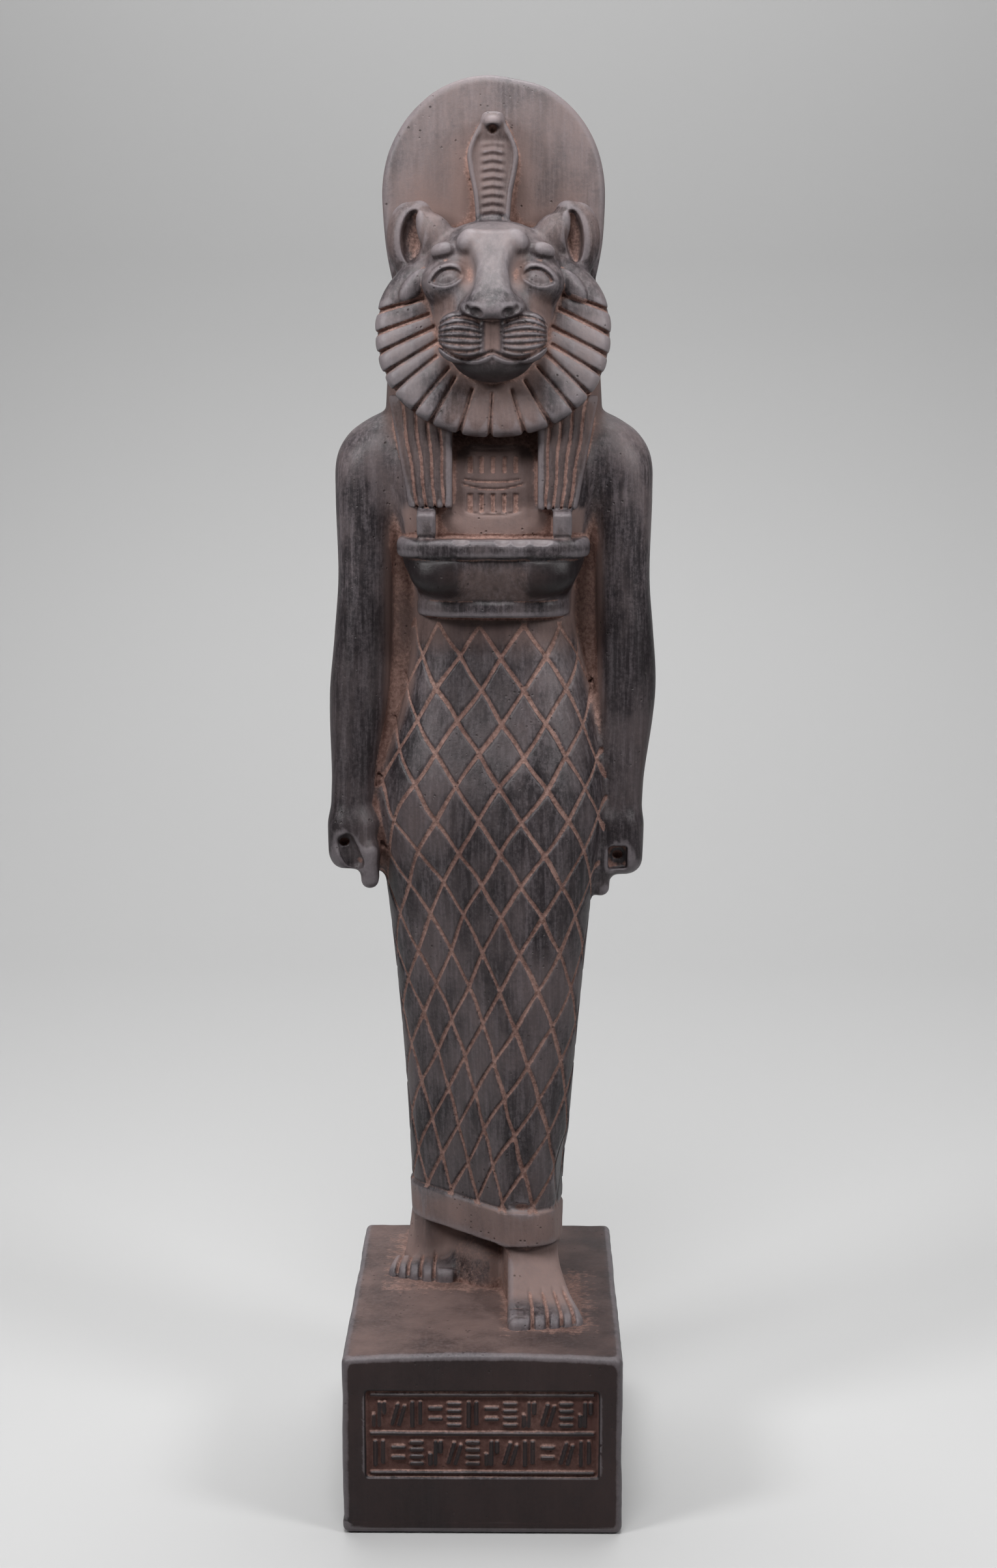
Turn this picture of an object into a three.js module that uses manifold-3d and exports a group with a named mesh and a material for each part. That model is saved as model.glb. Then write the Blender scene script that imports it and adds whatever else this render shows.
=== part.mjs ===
// A lioness-headed goddess striding on a plinth, cast in one piece: sun disc, rearing cobra, ruff of locks,
// wig lappets, bead collar, net dress, back pillar and a sunk panel of strokes on the front of the plinth.
// Millimetres, +Z up, the figure faces -Y, and the origin is the middle of the plinth's underside.
import * as THREE from "three";
import { RoundedBoxGeometry } from "three/addons/geometries/RoundedBoxGeometry.js";
import { mergeVertices } from "three/addons/utils/BufferGeometryUtils.js";
import Module from "manifold-3d";

// Driving dimensions.
const FIGURE_HEIGHT = 306; // from the top of the plinth to the top of the sun disc
const PLINTH_WIDTH = 68;
const PLINTH_DEPTH = 98;
const PLINTH_HEIGHT = 45;
const PLINTH_ROUNDING = 1.6;
const PANEL_WIDTH = 56.2;
const PANEL_HEIGHT = 22;
const PANEL_DEPTH = 1.1;
const PANEL_ABOVE_BASE = 14.6; // from the underside to the panel's lower edge
const PANEL_RULE = 1.0; // height of the raised rules above, between and below the rows
const PANEL_ROWS = 2;
const STROKE_COLUMNS = 11;
const STROKE_GAP = 0.9;
const STROKE_RELIEF = 0.7;
const PILLAR_WIDTH = 31;
const PILLAR_BACK = 40; // from the middle of the plinth to the pillar's back
const DISC_THICKNESS = 9;
const NET_COLUMNS = 14; // meshes of the net all the way round
const NET_KNEE = 101; // a row of crossings; the meshes are longer below it
const HALF_MESH_ABOVE = 7.96; // height of half a mesh
const HALF_MESH_BELOW = 9.35;
const ROWS_ABOVE = 9;
const ROWS_BELOW = 9;
const NET_FRONT = -80.7; // where the columns are counted from, in degrees about the dress's axis
const NET_GROOVE_DEPTH = 0.8;
const NET_GROOVE_SHARE = 0.18; // of a mesh
const LOCKS = 23; // locks of the ruff that show, ear to ear
const LAPPET_FLUTES = 5;
const BEADS_IN_ROW = 5;
const TOES = 5;
const SINK = 0.6; // how far a form is let into what carries it

// The free form below is drawn on a figure of this height, and takes its size from FIGURE_HEIGHT.
const DRAWN_HEIGHT = 306;
const SCALE = FIGURE_HEIGHT / DRAWN_HEIGHT;

const wasm = await Module();
wasm.setup();

const TAU = Math.PI * 2;
const clamp01 = (t) => Math.min(1, Math.max(0, t));
const lerp = THREE.MathUtils.lerp;
const smooth = (low, high, x) => THREE.MathUtils.smoothstep(x, low, high);

// Any closed geometry as a solid for joining and cutting, with its faces turned out.
function solid(geometry) {
  const bare = geometry.clone();
  bare.deleteAttribute("normal");
  bare.deleteAttribute("uv");
  const merged = mergeVertices(bare, 1e-3);
  const build = (triVerts) =>
    new wasm.Manifold(
      new wasm.Mesh({
        numProp: 3,
        vertProperties: merged.attributes.position.array,
        triVerts,
      }),
    );
  const made = build(new Uint32Array(merged.index.array));
  return made.volume() > 0 ? made : build(new Uint32Array(merged.index.array).reverse());
}

// The same for a form of the figure, which stands on the plinth.
function figureSolid(geometry) {
  return solid(
    geometry.scale(SCALE, SCALE, SCALE).translate(0, 0, PLINTH_HEIGHT),
  );
}

const join = (pieces) => pieces.reduce((all, piece) => all.add(piece));

// A number or a list of numbers that runs smoothly through stations [height, ...values].
function track(stations) {
  const curve = (z, column) => {
    const last = stations.length - 1;
    if (z <= stations[0][0]) return stations[0][column];
    if (z >= stations[last][0]) return stations[last][column];
    const i = stations.findIndex((s) => s[0] > z) - 1;
    const [a, b] = [stations[i], stations[i + 1]];
    const before = stations[Math.max(0, i - 1)];
    const after = stations[Math.min(last, i + 2)];
    const span = b[0] - a[0];
    const slope = (p, q) => ((q[column] - p[column]) / (q[0] - p[0])) * span;
    const [m0, m1] = [slope(before, b), slope(a, after)];
    const t = (z - a[0]) / span;
    return (
      a[column] * (2 * t ** 3 - 3 * t ** 2 + 1) +
      m0 * (t ** 3 - 2 * t ** 2 + t) +
      b[column] * (3 * t ** 2 - 2 * t ** 3) +
      m1 * (t ** 3 - t ** 2)
    );
  };
  return (z) => stations[0].slice(1).map((_, k) => curve(z, k + 1));
}

// The figure leans a little to its left above the hips.
const lean = (z) => 0.2 + 2 * smooth(118, 168, z);

// A closed tube along +Z whose points are placed by (angle, share of height, share of radius).
function sweep(segments, rings, place) {
  const geometry = new THREE.CylinderGeometry(1, 1, 1, segments, rings);
  geometry.rotateX(Math.PI / 2);
  const p = geometry.attributes.position;
  for (let i = 0; i < p.count; i++) {
    const [x, y, z] = [p.getX(i), p.getY(i), p.getZ(i)];
    p.setXYZ(i, ...place(Math.atan2(y, x), z + 0.5, Math.hypot(x, y)));
  }
  return geometry;
}

// A ball stretched to three radii, turned, and set at its middle.
function ball(middle, radii, turn = [0, 0, 0], detail = [12, 8]) {
  const geometry = new THREE.SphereGeometry(1, ...detail);
  geometry.rotateX(Math.PI / 2).scale(...radii);
  geometry.rotateX(turn[0]).rotateY(turn[1]).rotateZ(turn[2]);
  return geometry.translate(...middle);
}

const block = (size, middle) =>
  new THREE.BoxGeometry(...size).translate(...middle);

// The radius at an angle of an oval with rounded corners.
const ovalRadius = (angle, a, b, power) =>
  (Math.abs(Math.cos(angle) / a) ** power +
    Math.abs(Math.sin(angle) / b) ** power) **
  (-1 / power);

// The dress: the outline at a height is two circles, one for each leg, wrapped by a taut band.
const legStations = track([
  // height, left leg x, y, radius, right leg x, y, radius
  [14, 9.5, -3, 9.6, -7, 13, 12],
  [62, 10.2, -3.5, 12.4, -7.5, 12, 14],
  [104, 10.6, 0, 16.2, -8.6, 12, 17],
  [128, 11, 5, 19.2, -10.2, 12, 19],
  [152, 9, 8.5, 16.6, -8, 12, 15.6],
  [175, 5.6, 10.5, 14.4, -5.4, 12, 14],
]);

function wrapDistance(x, y, [ax, ay, ar, bx, by, br]) {
  const length = Math.hypot(bx - ax, by - ay);
  const [ux, uy] = [(bx - ax) / length, (by - ay) / length];
  const along = (x - ax) * ux + (y - ay) * uy;
  const across = Math.abs((y - ay) * ux - (x - ax) * uy);
  const s = (ar - br) / length;
  const c = Math.sqrt(1 - s * s);
  const side = -s * across + c * along;
  if (side < 0) return Math.hypot(across, along) - ar;
  if (side > c * length) return Math.hypot(across, along - length) - br;
  return c * across + s * along - ar;
}

const DRESS_AXIS_Y = 9;
function dressRadius(angle, z, grow = 0) {
  const legs = legStations(z);
  let [low, high] = [0, 60];
  for (let i = 0; i < 26; i++) {
    const r = (low + high) / 2;
    const d = wrapDistance(
      r * Math.cos(angle),
      r * Math.sin(angle) + DRESS_AXIS_Y,
      legs,
    );
    if (d - grow > 0) high = r;
    else low = r;
  }
  return low;
}

function onDress(angle, z, rise = 0) {
  const r = dressRadius(angle, z, rise);
  return [r * Math.cos(angle) + lean(z), r * Math.sin(angle) + DRESS_AXIS_Y, z];
}

// The net lies evenly along the cloth, so the angle of a column comes from lengths along the outline.
const outlines = new Map();
function outlineAt(z) {
  if (outlines.has(z)) return outlines.get(z);
  const steps = 144;
  const angles = [];
  const lengths = [0];
  let before = null;
  for (let i = 0; i <= steps; i++) {
    const angle = THREE.MathUtils.degToRad(NET_FRONT) + (i / steps) * TAU;
    const r = dressRadius(angle, z);
    const here = [r * Math.cos(angle), r * Math.sin(angle)];
    if (before) lengths.push(lengths[i - 1] + Math.hypot(here[0] - before[0], here[1] - before[1]));
    angles.push(angle);
    before = here;
  }
  outlines.set(z, { angles, lengths });
  return outlines.get(z);
}

// The net is stretched over the hips at the front, and drifts to its right towards the hem.
const netStretch = (z) => 1 + 0.29 * smooth(130, 168, z);
const netDrift = (z) => -0.95 * (1 - smooth(10, 86, z));

function netAngle(column, z) {
  const { angles, lengths } = outlineAt(z);
  const half = NET_COLUMNS / 2;
  const wrapped = column - NET_COLUMNS * Math.round(column / NET_COLUMNS);
  const stretch = lerp(netStretch(z), 1, smooth(0.4 * half, half, Math.abs(wrapped)));
  let share = (wrapped * stretch + netDrift(z)) / NET_COLUMNS;
  share -= Math.floor(share);
  const length = share * lengths[lengths.length - 1];
  const i = Math.max(1, lengths.findIndex((l) => l >= length));
  return lerp(angles[i - 1], angles[i], (length - lengths[i - 1]) / (lengths[i] - lengths[i - 1]));
}

// The net dress: each mesh of the net is a raised lozenge, and the cords between them are grooves.
const HEM_TOP = 24;
const HEM_BOTTOM = 15;
const WAIST = 175;

function rowHeight(row) {
  const fromKnee = row - ROWS_BELOW;
  const z = NET_KNEE + fromKnee * (fromKnee > 0 ? HALF_MESH_ABOVE : HALF_MESH_BELOW);
  const toWaist = WAIST - NET_KNEE - ROWS_ABOVE * HALF_MESH_ABOVE;
  return z + toWaist * clamp01(fromKnee - ROWS_ABOVE + 1);
}

function netDress() {
  const columns = NET_COLUMNS * 2;
  const rows = ROWS_BELOW + ROWS_ABOVE;
  const shift = ROWS_BELOW % 2;
  const at = (i, j, rise) => {
    const z = rowHeight(j);
    return onDress(netAngle((i - shift) / 2, z), z, rise);
  };
  const triangles = [];
  const face = (a, b, c) => triangles.push(...a, ...b, ...c);
  const crossing = (i, j) =>
    at((i + columns) % columns, j, -NET_GROOVE_DEPTH);
  for (let j = 0; j <= rows; j++) {
    for (let i = 0; i < columns; i++) {
      if ((i + j) % 2 === 0) continue;
      const corners = [
        [1, 0],
        [0, 1],
        [-1, 0],
        [0, -1],
      ].filter(([, dj]) => j + dj >= 0 && j + dj <= rows);
      const outer = corners.map(([di, dj]) => crossing(i + di, j + dj));
      if (corners.length < 4) {
        // At the hem and the waist the net is cut through the middle of its meshes.
        face(outer[0], outer[1], outer[2]);
        continue;
      }
      const inset = 1 - NET_GROOVE_SHARE;
      const inner = corners.map(([di, dj]) =>
        at(i + di * inset, j + dj * inset, 0),
      );
      corners.forEach((_, k) => {
        const n = (k + 1) % 4;
        face(outer[k], outer[n], inner[n]);
        face(outer[k], inner[n], inner[k]);
      });
      face(inner[0], inner[1], inner[3]);
      face(inner[1], inner[2], inner[3]);
    }
  }
  // Flat ends close the dress.
  for (const j of [0, rows]) {
    const z = rowHeight(j);
    const middle = [lean(z), DRESS_AXIS_Y, z];
    for (let i = j % 2; i < columns; i += 2) {
      const [a, b] = [crossing(i, j), crossing(i + 2, j)];
      if (j === 0) face(middle, b, a);
      else face(middle, a, b);
    }
  }
  const geometry = new THREE.BufferGeometry();
  geometry.setAttribute(
    "position",
    new THREE.Float32BufferAttribute(triangles, 3),
  );
  return geometry;
}

// The hem, a band round the dress that rises a little towards the leg set back.
const HEM_LIFT = 1.5;
function dressBand(low, high, rise, segments = 22) {
  return sweep(segments, 1, (angle, t, radius) => {
    const z = lerp(low, high, t);
    const [x, y] = onDress(angle, z, rise);
    const across = lerp(lean(z), x, radius);
    return [across, lerp(DRESS_AXIS_Y, y, radius), z + HEM_LIFT * (1 - smooth(-19, 8, across))];
  });
}

// The trunk from the waist to the shoulders: [height, half width, front, back, squareness].
const trunkStations = track([
  [168, 18.5, -3.5, 27, 2.2],
  [181, 20, -4.5, 27, 2.3],
  [192, 23, -8, 28, 2.5],
  [205, 26, -8.5, 29, 2.5],
  [216, 29, -5, 28, 2.4],
  [224, 24, 1, 24, 2.2],
  [230, 18, 4, 20, 2.0],
]);
const TRUNK_LOW = 168;
const TRUNK_HIGH = 230;

function trunk() {
  return sweep(18, 6, (angle, t, radius) => {
    const z = lerp(TRUNK_LOW, TRUNK_HIGH, t);
    const [half, front, back, power] = trunkStations(z);
    const r = radius * ovalRadius(angle, half, (back - front) / 2, power);
    return [
      lean(z) + r * Math.cos(angle),
      (front + back) / 2 + r * Math.sin(angle),
      z,
    ];
  });
}

// The bust, a shelf with two soft bumps under its band, then the straps and the belt.
const BUST_LOW = 180.5;
const BUST_BAND = [189.6, 194.3];
const BELT = [174.5, 179.2];
function bustAndBands() {
  const x = lean(192);
  const ring = (segments, rings, low, high, outline) =>
    sweep(segments, rings, (angle, t, radius) => {
      const [half, front, back, power] = outline(t);
      const r = radius * ovalRadius(angle, half, (back - front) / 2, power);
      return [x + r * Math.cos(angle), (front + back) / 2 + r * Math.sin(angle), lerp(low, high, t)];
    });
  const pieces = [
    ring(18, 3, BUST_LOW, BUST_BAND[0] + SINK, (t) => {
      const out = Math.sqrt(t);
      return [lerp(18.8, 22.4, out), lerp(-5.2, -12.2, out), 20, 2.6];
    }),
    ring(22, 1, ...BUST_BAND, () => [24.2, -14.2, 22, 2.9]),
    ring(18, 1, ...BELT, () => [19.4, -7.2, 25, 2.6]),
  ];
  for (const side of [-1, 1]) {
    pieces.push(
      ball([x + side * 12.2, -7, 187.8], [8.8, 7.6, 6.4], [0, 0, 0], [10, 6]),
      block([4.4, 6.4, 9], [x + side * 16.8, -8.2, 197.4]),
    );
  }
  return pieces;
}

// One arm from the shoulder to the wrist: [height, middle x, middle y, half width, half depth].
const armStations = track([
  [116, 34.4, 5, 5.8, 6.4],
  [124, 34.4, 5, 5.0, 5.8],
  [134, 34.2, 6, 5.4, 6.4],
  [148, 33.9, 8, 7.0, 7.6],
  [157, 33.7, 8.6, 7.5, 8.2],
  [170, 33.0, 9, 7.2, 8.4],
  [184, 32.3, 9.5, 6.9, 8.6],
  [205, 31.5, 10, 8.2, 9.6],
  [214, 29.7, 10.5, 9.5, 10],
  [220, 26.5, 11, 9.2, 8.4],
  [224.6, 23.5, 12, 5.6, 5],
]);

function arm(side) {
  const [low, high] = [112, 224.6];
  return sweep(12, 10, (angle, t, radius) => {
    const z = lerp(low, high, t);
    const [x, y, half, deep] = armStations(z);
    const r = radius * ovalRadius(angle, half, deep, 2.2);
    return [
      lean(z) + side * x + r * Math.cos(angle),
      y + r * Math.sin(angle),
      z,
    ];
  });
}

// A clenched fist: a palm with softened edges, the thumb pointing down inside it, and a hollow between.
function fist(side) {
  const at = (x, y, z) => [lean(114) + side * x, y, z];
  const softBlock = (size, rounding, middle) =>
    figureSolid(new RoundedBoxGeometry(...size, 1, rounding).translate(...middle));
  const palm = softBlock([12.8, 13.4, 14.6], 3.2, at(33.6, 4.2, 117));
  const thumb = figureSolid(ball(at(29.2, 1.4, 112.4), [2.6, 4.4, 7.6], [0.1, 0, 0], [8, 5]));
  const wrist = figureSolid(ball(at(33.8, 4.4, 122), [5.9, 6.4, 7], [0, 0, 0], [7, 3]));
  const hollow = figureSolid(ball(at(34.2, -4.4, 115), [3, 4, 3.7], [0, 0, 0], [7, 4]));
  return join([palm, thumb, wrist]).subtract(hollow);
}

// The stone left standing between the arms and the body.
function webs() {
  return [-1, 1].map((side) => {
    const geometry = new THREE.BoxGeometry(21, 15, 106, 1, 1, 4);
    geometry.translate(side * 22.5, 12.5, 161);
    const p = geometry.attributes.position;
    for (let i = 0; i < p.count; i++) p.setX(i, p.getX(i) + lean(p.getZ(i)));
    return figureSolid(geometry);
  });
}

// The back pillar, and the stone left between the legs under the hem.
function backing() {
  const top = 244;
  const back = PILLAR_BACK / SCALE;
  const width = PILLAR_WIDTH / SCALE;
  return [
    block([width, back - 14, top + SINK], [0, (back + 14) / 2, (top - SINK) / 2]),
    block([15, back - 12, HEM_TOP], [-1.5, (back + 12) / 2, HEM_TOP / 2 - SINK]),
    ball([-3, 14, 2], [12.5, 15.5, 14.5], [0, 0, 0.5], [8, 4]),
  ];
}

// A bare foot: heel, instep and toes. Toes run from the big toe outwards.
function foot({ heel, toe, width, outward, ankle, ankleTop }) {
  const ahead = new THREE.Vector2(toe[0] - heel[0], toe[1] - heel[1]);
  const length = ahead.length();
  const turn = Math.atan2(ahead.y, ahead.x) + Math.PI / 2;
  const place = (geometry) =>
    geometry.rotateZ(turn).translate(heel[0], heel[1], 0);
  // In the foot's own frame the toes point to -Y.
  const pieces = [
    place(
      sweep(11, 5, (angle, t, radius) => {
        const half = lerp(0.72, 1, smooth(0.15, 0.8, t)) * (width / 2);
        const rise = lerp(13, 4.4, smooth(0.28, 0.95, t));
        const end = Math.sqrt(clamp01(1 - (Math.max(0, 0.16 - t) / 0.17) ** 2));
        const r = radius * ovalRadius(angle, half * end, rise * end, 2.3);
        return [
          r * Math.cos(angle) + outward * 2 * t,
          -t * length * 0.86,
          Math.max(-SINK, r * Math.sin(angle)),
        ];
      }),
    ),
  ];
  const toeWidths = [0.31, 0.21, 0.18, 0.16, 0.14];
  let x = -outward * (width / 2) + outward * 1.2;
  for (let k = 0; k < TOES; k++) {
    const w = toeWidths[Math.min(k, toeWidths.length - 1)] * (width + 1.5);
    const reach = length * (1 - 0.012 * k * k) - (k ? 0.4 : 0);
    const high = k ? 3.6 - 0.25 * k : 4.6;
    x += (outward * w) / 2;
    pieces.push(
      place(
        ball([x + outward * 0.35 * k, -reach + 6, high * 0.42], [w * 0.52, 6.2, high], [0, 0, 0], [6, 4]),
      ),
    );
    x += (outward * w) / 2;
  }
  pieces.push(
    sweep(12, 2, (angle, t, radius) => {
      const r = radius * ovalRadius(angle, ankle[2], ankle[3], 2.2);
      return [
        ankle[0] + r * Math.cos(angle),
        ankle[1] + r * Math.sin(angle),
        lerp(1, ankleTop, t),
      ];
    }),
  );
  return pieces.map(figureSolid);
}

// The ruff: a thick rounded collar round the face, cut into locks by radiating grooves.
const RUFF = { z: 244.5, x: 28.6, up: 22, down: 25.6 };
const FACE_CENTRE = 246;

function ruffOutline(angle) {
  const high = Math.sin(angle) > 0 ? RUFF.up : RUFF.down;
  return ovalRadius(angle, RUFF.x, high, 2.15);
}

function ruff() {
  const profile = [
    // share of the outline, depth towards the front
    [0, 12],
    [0.9, 12],
    [1.0, 3],
    [0.94, -6.5],
    [0.66, -10],
    [0, -10],
  ].map(([r, y]) => new THREE.Vector2(r, y));
  const steps = 2;
  const segments = Math.round((LOCKS * 360) / 290) * steps;
  const geometry = new THREE.LatheGeometry(profile, segments);
  const p = geometry.attributes.position;
  const x0 = lean(RUFF.z);
  for (let i = 0; i < p.count; i++) {
    const share = Math.hypot(p.getX(i), p.getZ(i));
    const angle = Math.atan2(p.getZ(i), p.getX(i));
    const step = Math.round(((angle + Math.PI / 2 + TAU) / TAU) * segments);
    const inGroove = step % steps === 0 && share > 0.5 && p.getY(i) < 3;
    const out = ruffOutline(angle) * (inGroove ? share - 0.035 : share);
    const y = p.getY(i) + (inGroove ? 1.1 : 0);
    p.setXYZ(i, x0 + out * Math.cos(angle), y, RUFF.z + out * Math.sin(angle));
  }
  return geometry;
}

// The lioness's head.
function head() {
  const x0 = lean(FACE_CENTRE);
  const at = (x, y, z) => [x0 + x, y, z];
  const forms = [
    ball(at(0, -3, 256), [18.6, 16, 15.5], [0, 0, 0], [10, 6]), // skull and cheeks
    ball(at(0, -12, 250), [14.6, 11, 13.5], [0, 0, 0], [11, 6]), // face
    ball(at(0, -18, 251.5), [4.9, 8.5, 9], [-0.5, 0, 0], [8, 6]), // bridge of the nose
    ball(at(0, -23.5, 249.6), [7.2, 6.2, 3.6], [0, 0, 0], [8, 4]), // nose
    ball(at(0, -15, 237.8), [9.6, 9.6, 5.8], [0.1, 0, 0], [9, 5]), // chin
  ];
  for (const side of [-1, 1]) {
    forms.push(
      ball(at(side * 6.9, -18.6, 243.2), [6, 7.6, 6.4], [0, 0, 0], [8, 6]), // whisker pad
      ball(at(side * 4.9, -15.2, 263.4), [3.2, 3.4, 3.4], [0, 0, 0], [6, 4]), // inner brow
      ball(at(side * 10.6, -12.8, 261.4), [4.2, 3.2, 2.2], [0, 0, side * 0.4], [6, 4]), // outer brow
      ball(at(side * 10.3, -13.4, 256.2), [5.0, 3.4, 3.2], [0, 0, side * 0.35], [8, 5]), // eyelids
    );
  }
  const carved = join(forms.map(figureSolid));
  const cuts = [];
  for (const side of [-1, 1]) {
    cuts.push(
      ball(at(side * 10.6, -17.2, 256.0), [3.8, 1.5, 1.9], [0, 0, side * 0.35], [7, 4]), // eye opening
      ball(at(side * 3.9, -29.4, 248.7), [1.8, 1.6, 1.0], [0, 0, 0], [6, 4]), // nostril
    );
  }
  cuts.push(block([3.4, 6, 9], at(0, -26.4, 242))); // groove under the nose
  return carved.subtract(join(cuts.map(figureSolid)));
}

// An ear: a round cup, open to the front.
function ear(side) {
  const x = lean(266) + side * 19;
  const shell = figureSolid(
    ball([x, -1, 267], [6.2, 6, 8.2], [0, side * 0.16, 0], [10, 6]),
  );
  const cup = figureSolid(
    ball([x + side * 0.8, -6.6, 267], [2.9, 4.2, 5.8], [0, side * 0.12, 0], [8, 4]),
  );
  const root = figureSolid(
    ball([x - side * 6.4, -1.5, 264.5], [6, 5, 6.6], [0, side * 0.5, 0], [6, 4]),
  );
  return shell.add(root).subtract(cup);
}

// The sun disc: a half circle on a longer half oval, with rounded edges.
const DISC = { z: 277.5, half: 27.3, up: 28.5, down: 45, front: 3.4 };
function disc() {
  const thick = DISC_THICKNESS / SCALE;
  const profile = [
    [0, 0],
    [0.95, 0],
    [1, 0.16],
    [1, 0.84],
    [0.95, 1],
    [0, 1],
  ].map(([r, y]) => new THREE.Vector2(r, -y));
  const geometry = new THREE.LatheGeometry(profile, 28);
  const p = geometry.attributes.position;
  for (let i = 0; i < p.count; i++) {
    const [u, v] = [p.getX(i), p.getZ(i)];
    const z = Math.max(-36, v * (v > 0 ? DISC.up : DISC.down));
    p.setXYZ(
      i,
      lean(DISC.z) + u * DISC.half,
      DISC.front - p.getY(i) * thick,
      DISC.z + z,
    );
  }
  return geometry;
}

// The rearing cobra on the brow.
function cobra() {
  const x = lean(DISC.z);
  const hood = new THREE.Shape();
  hood.moveTo(-3.6, -12);
  hood.bezierCurveTo(-3.8, -5, -6.4, -2, -6.3, 3.4);
  hood.bezierCurveTo(-6.2, 7.5, -3.6, 10, -2.8, 13.2);
  hood.lineTo(2.8, 13.2);
  hood.bezierCurveTo(3.6, 10, 6.2, 7.5, 6.3, 3.4);
  hood.bezierCurveTo(6.4, -2, 3.8, -5, 3.6, -12);
  const settings = {
    depth: 9,
    bevelEnabled: true,
    bevelThickness: 0.7,
    bevelSize: 0.6,
    bevelOffset: -0.6,
    bevelSegments: 1,
    curveSegments: 4,
  };
  const body = new THREE.ExtrudeGeometry(hood, settings);
  body.rotateX(Math.PI / 2).translate(x, DISC.front + 3, 283.5);
  const pieces = [
    body,
    ball([x, -5.2, 295], [3, 4, 2.4], [0.15, 0, 0], [8, 5]),
  ];
  for (let k = 0; k < 7; k++)
    pieces.push(block([5, 1.4, 1], [x, DISC.front - 6.6, 273.6 + k * 2.4]));
  return pieces;
}

// The wig behind the ruff, down to the shoulders, and its two lappets on the chest.
function wig() {
  const x0 = lean(232);
  return sweep(20, 2, (angle, t, radius) => {
    const z = lerp(206, 262, t);
    const half = lerp(27.2, 25.2, smooth(0.2, 1, t));
    const r = radius * ovalRadius(angle, half, 12.5, 2.6);
    return [x0 + r * Math.cos(angle), 12 + r * Math.sin(angle), z];
  });
}

const LAPPET = { top: 226, bottom: 202.5, inner: 10, outerTop: 26.2, outerBottom: 21.8, front: -11.6, back: 2 };
function lappet(side) {
  const outline = new THREE.Shape();
  const width = 1;
  outline.moveTo(0, 1);
  outline.lineTo(0, 0);
  for (let k = 0; k < LAPPET_FLUTES; k++) {
    const [a, b] = [k / LAPPET_FLUTES, (k + 1) / LAPPET_FLUTES];
    outline.lineTo(lerp(a, b, 0.25), -0.09);
    outline.lineTo(lerp(a, b, 0.75), -0.09);
    outline.lineTo(b, 0);
  }
  outline.lineTo(width, 1);
  const geometry = new THREE.ExtrudeGeometry(outline, {
    depth: 1,
    bevelEnabled: false,
  });
  const p = geometry.attributes.position;
  for (let i = 0; i < p.count; i++) {
    const [u, v, t] = [p.getX(i), p.getY(i), p.getZ(i)];
    const z = lerp(LAPPET.bottom, LAPPET.top, t);
    const outer = lerp(LAPPET.outerBottom, LAPPET.outerTop, t);
    const x = lerp(LAPPET.inner, outer, u);
    const y = lerp(LAPPET.front + 3.2 * t, LAPPET.back, v) + 2.2 * u * u;
    p.setXYZ(i, lean(z) + side * x, y, z);
  }
  return figureSolid(geometry);
}

// The bead collar between the lappets.
function collar() {
  const x = lean(210);
  const pieces = [];
  for (const [z, high, reach] of [
    [213.5, 4.4, 6.4],
    [206, 4.8, 7.4],
  ])
    for (let k = 0; k < BEADS_IN_ROW; k++) {
      const step = (2 * reach) / BEADS_IN_ROW;
      const dx = -reach + (k + 0.5) * step;
      pieces.push(block([step * 0.68, 4, high], [x + dx, -8.6, z]));
    }
  for (const z of [210.2]) pieces.push(block([15, 4, 0.9], [x, -8.9, z]));
  return pieces;
}

// The plinth, with a sunk panel of two rows of plain strokes.
function plinth() {
  const [w, d, r] = [PLINTH_WIDTH, PLINTH_DEPTH, PLINTH_ROUNDING];
  const rounded = new RoundedBoxGeometry(w, d, PLINTH_HEIGHT + 2 * r, 2, r);
  const body = solid(rounded.translate(0, 0, PLINTH_HEIGHT / 2 - r)).subtract(
    solid(block([2 * w, 2 * d, 4 * r], [0, 0, -2 * r])),
  );
  const middle = PANEL_ABOVE_BASE + PANEL_HEIGHT / 2;
  const recess = solid(
    block([PANEL_WIDTH, PANEL_DEPTH * 2, PANEL_HEIGHT], [0, -PLINTH_DEPTH / 2, middle]),
  );
  return body.subtract(recess).add(join(panelRelief()));
}

function panelRelief() {
  const pieces = [];
  const floor = -PLINTH_DEPTH / 2 + PANEL_DEPTH;
  const raised = (w, h, x, z) =>
    pieces.push(
      solid(block([w, STROKE_RELIEF + SINK, h], [x, floor + (SINK - STROKE_RELIEF) / 2, z])),
    );
  const rowHeight = (PANEL_HEIGHT - PANEL_RULE) / PANEL_ROWS;
  for (let row = 0; row <= PANEL_ROWS; row++)
    raised(PANEL_WIDTH - 2, PANEL_RULE * 0.8, 0, PANEL_ABOVE_BASE + PANEL_RULE / 2 + row * rowHeight);
  const pitch = (PANEL_WIDTH - 3) / STROKE_COLUMNS;
  const usable = rowHeight - PANEL_RULE - 2 * STROKE_GAP;
  for (let row = 0; row < PANEL_ROWS; row++) {
    const bottom = PANEL_ABOVE_BASE + PANEL_RULE + STROKE_GAP + row * rowHeight;
    for (let k = 0; k < STROKE_COLUMNS; k++) {
      const x = (k + 0.5 - STROKE_COLUMNS / 2) * pitch;
      const kind = (k * 5 + row * 3) % 4;
      const wide = pitch - STROKE_GAP;
      if (kind === 0) raised(wide * 0.5, usable, x, bottom + usable / 2);
      else {
        const bars = 2;
        const high = (usable - STROKE_GAP * (bars - 1)) / bars;
        for (let b = 0; b < bars; b++)
          raised(b % 2 ? wide * 0.7 : wide, high, x, bottom + high / 2 + b * (high + STROKE_GAP));
      }
    }
  }
  return pieces;
}

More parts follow.
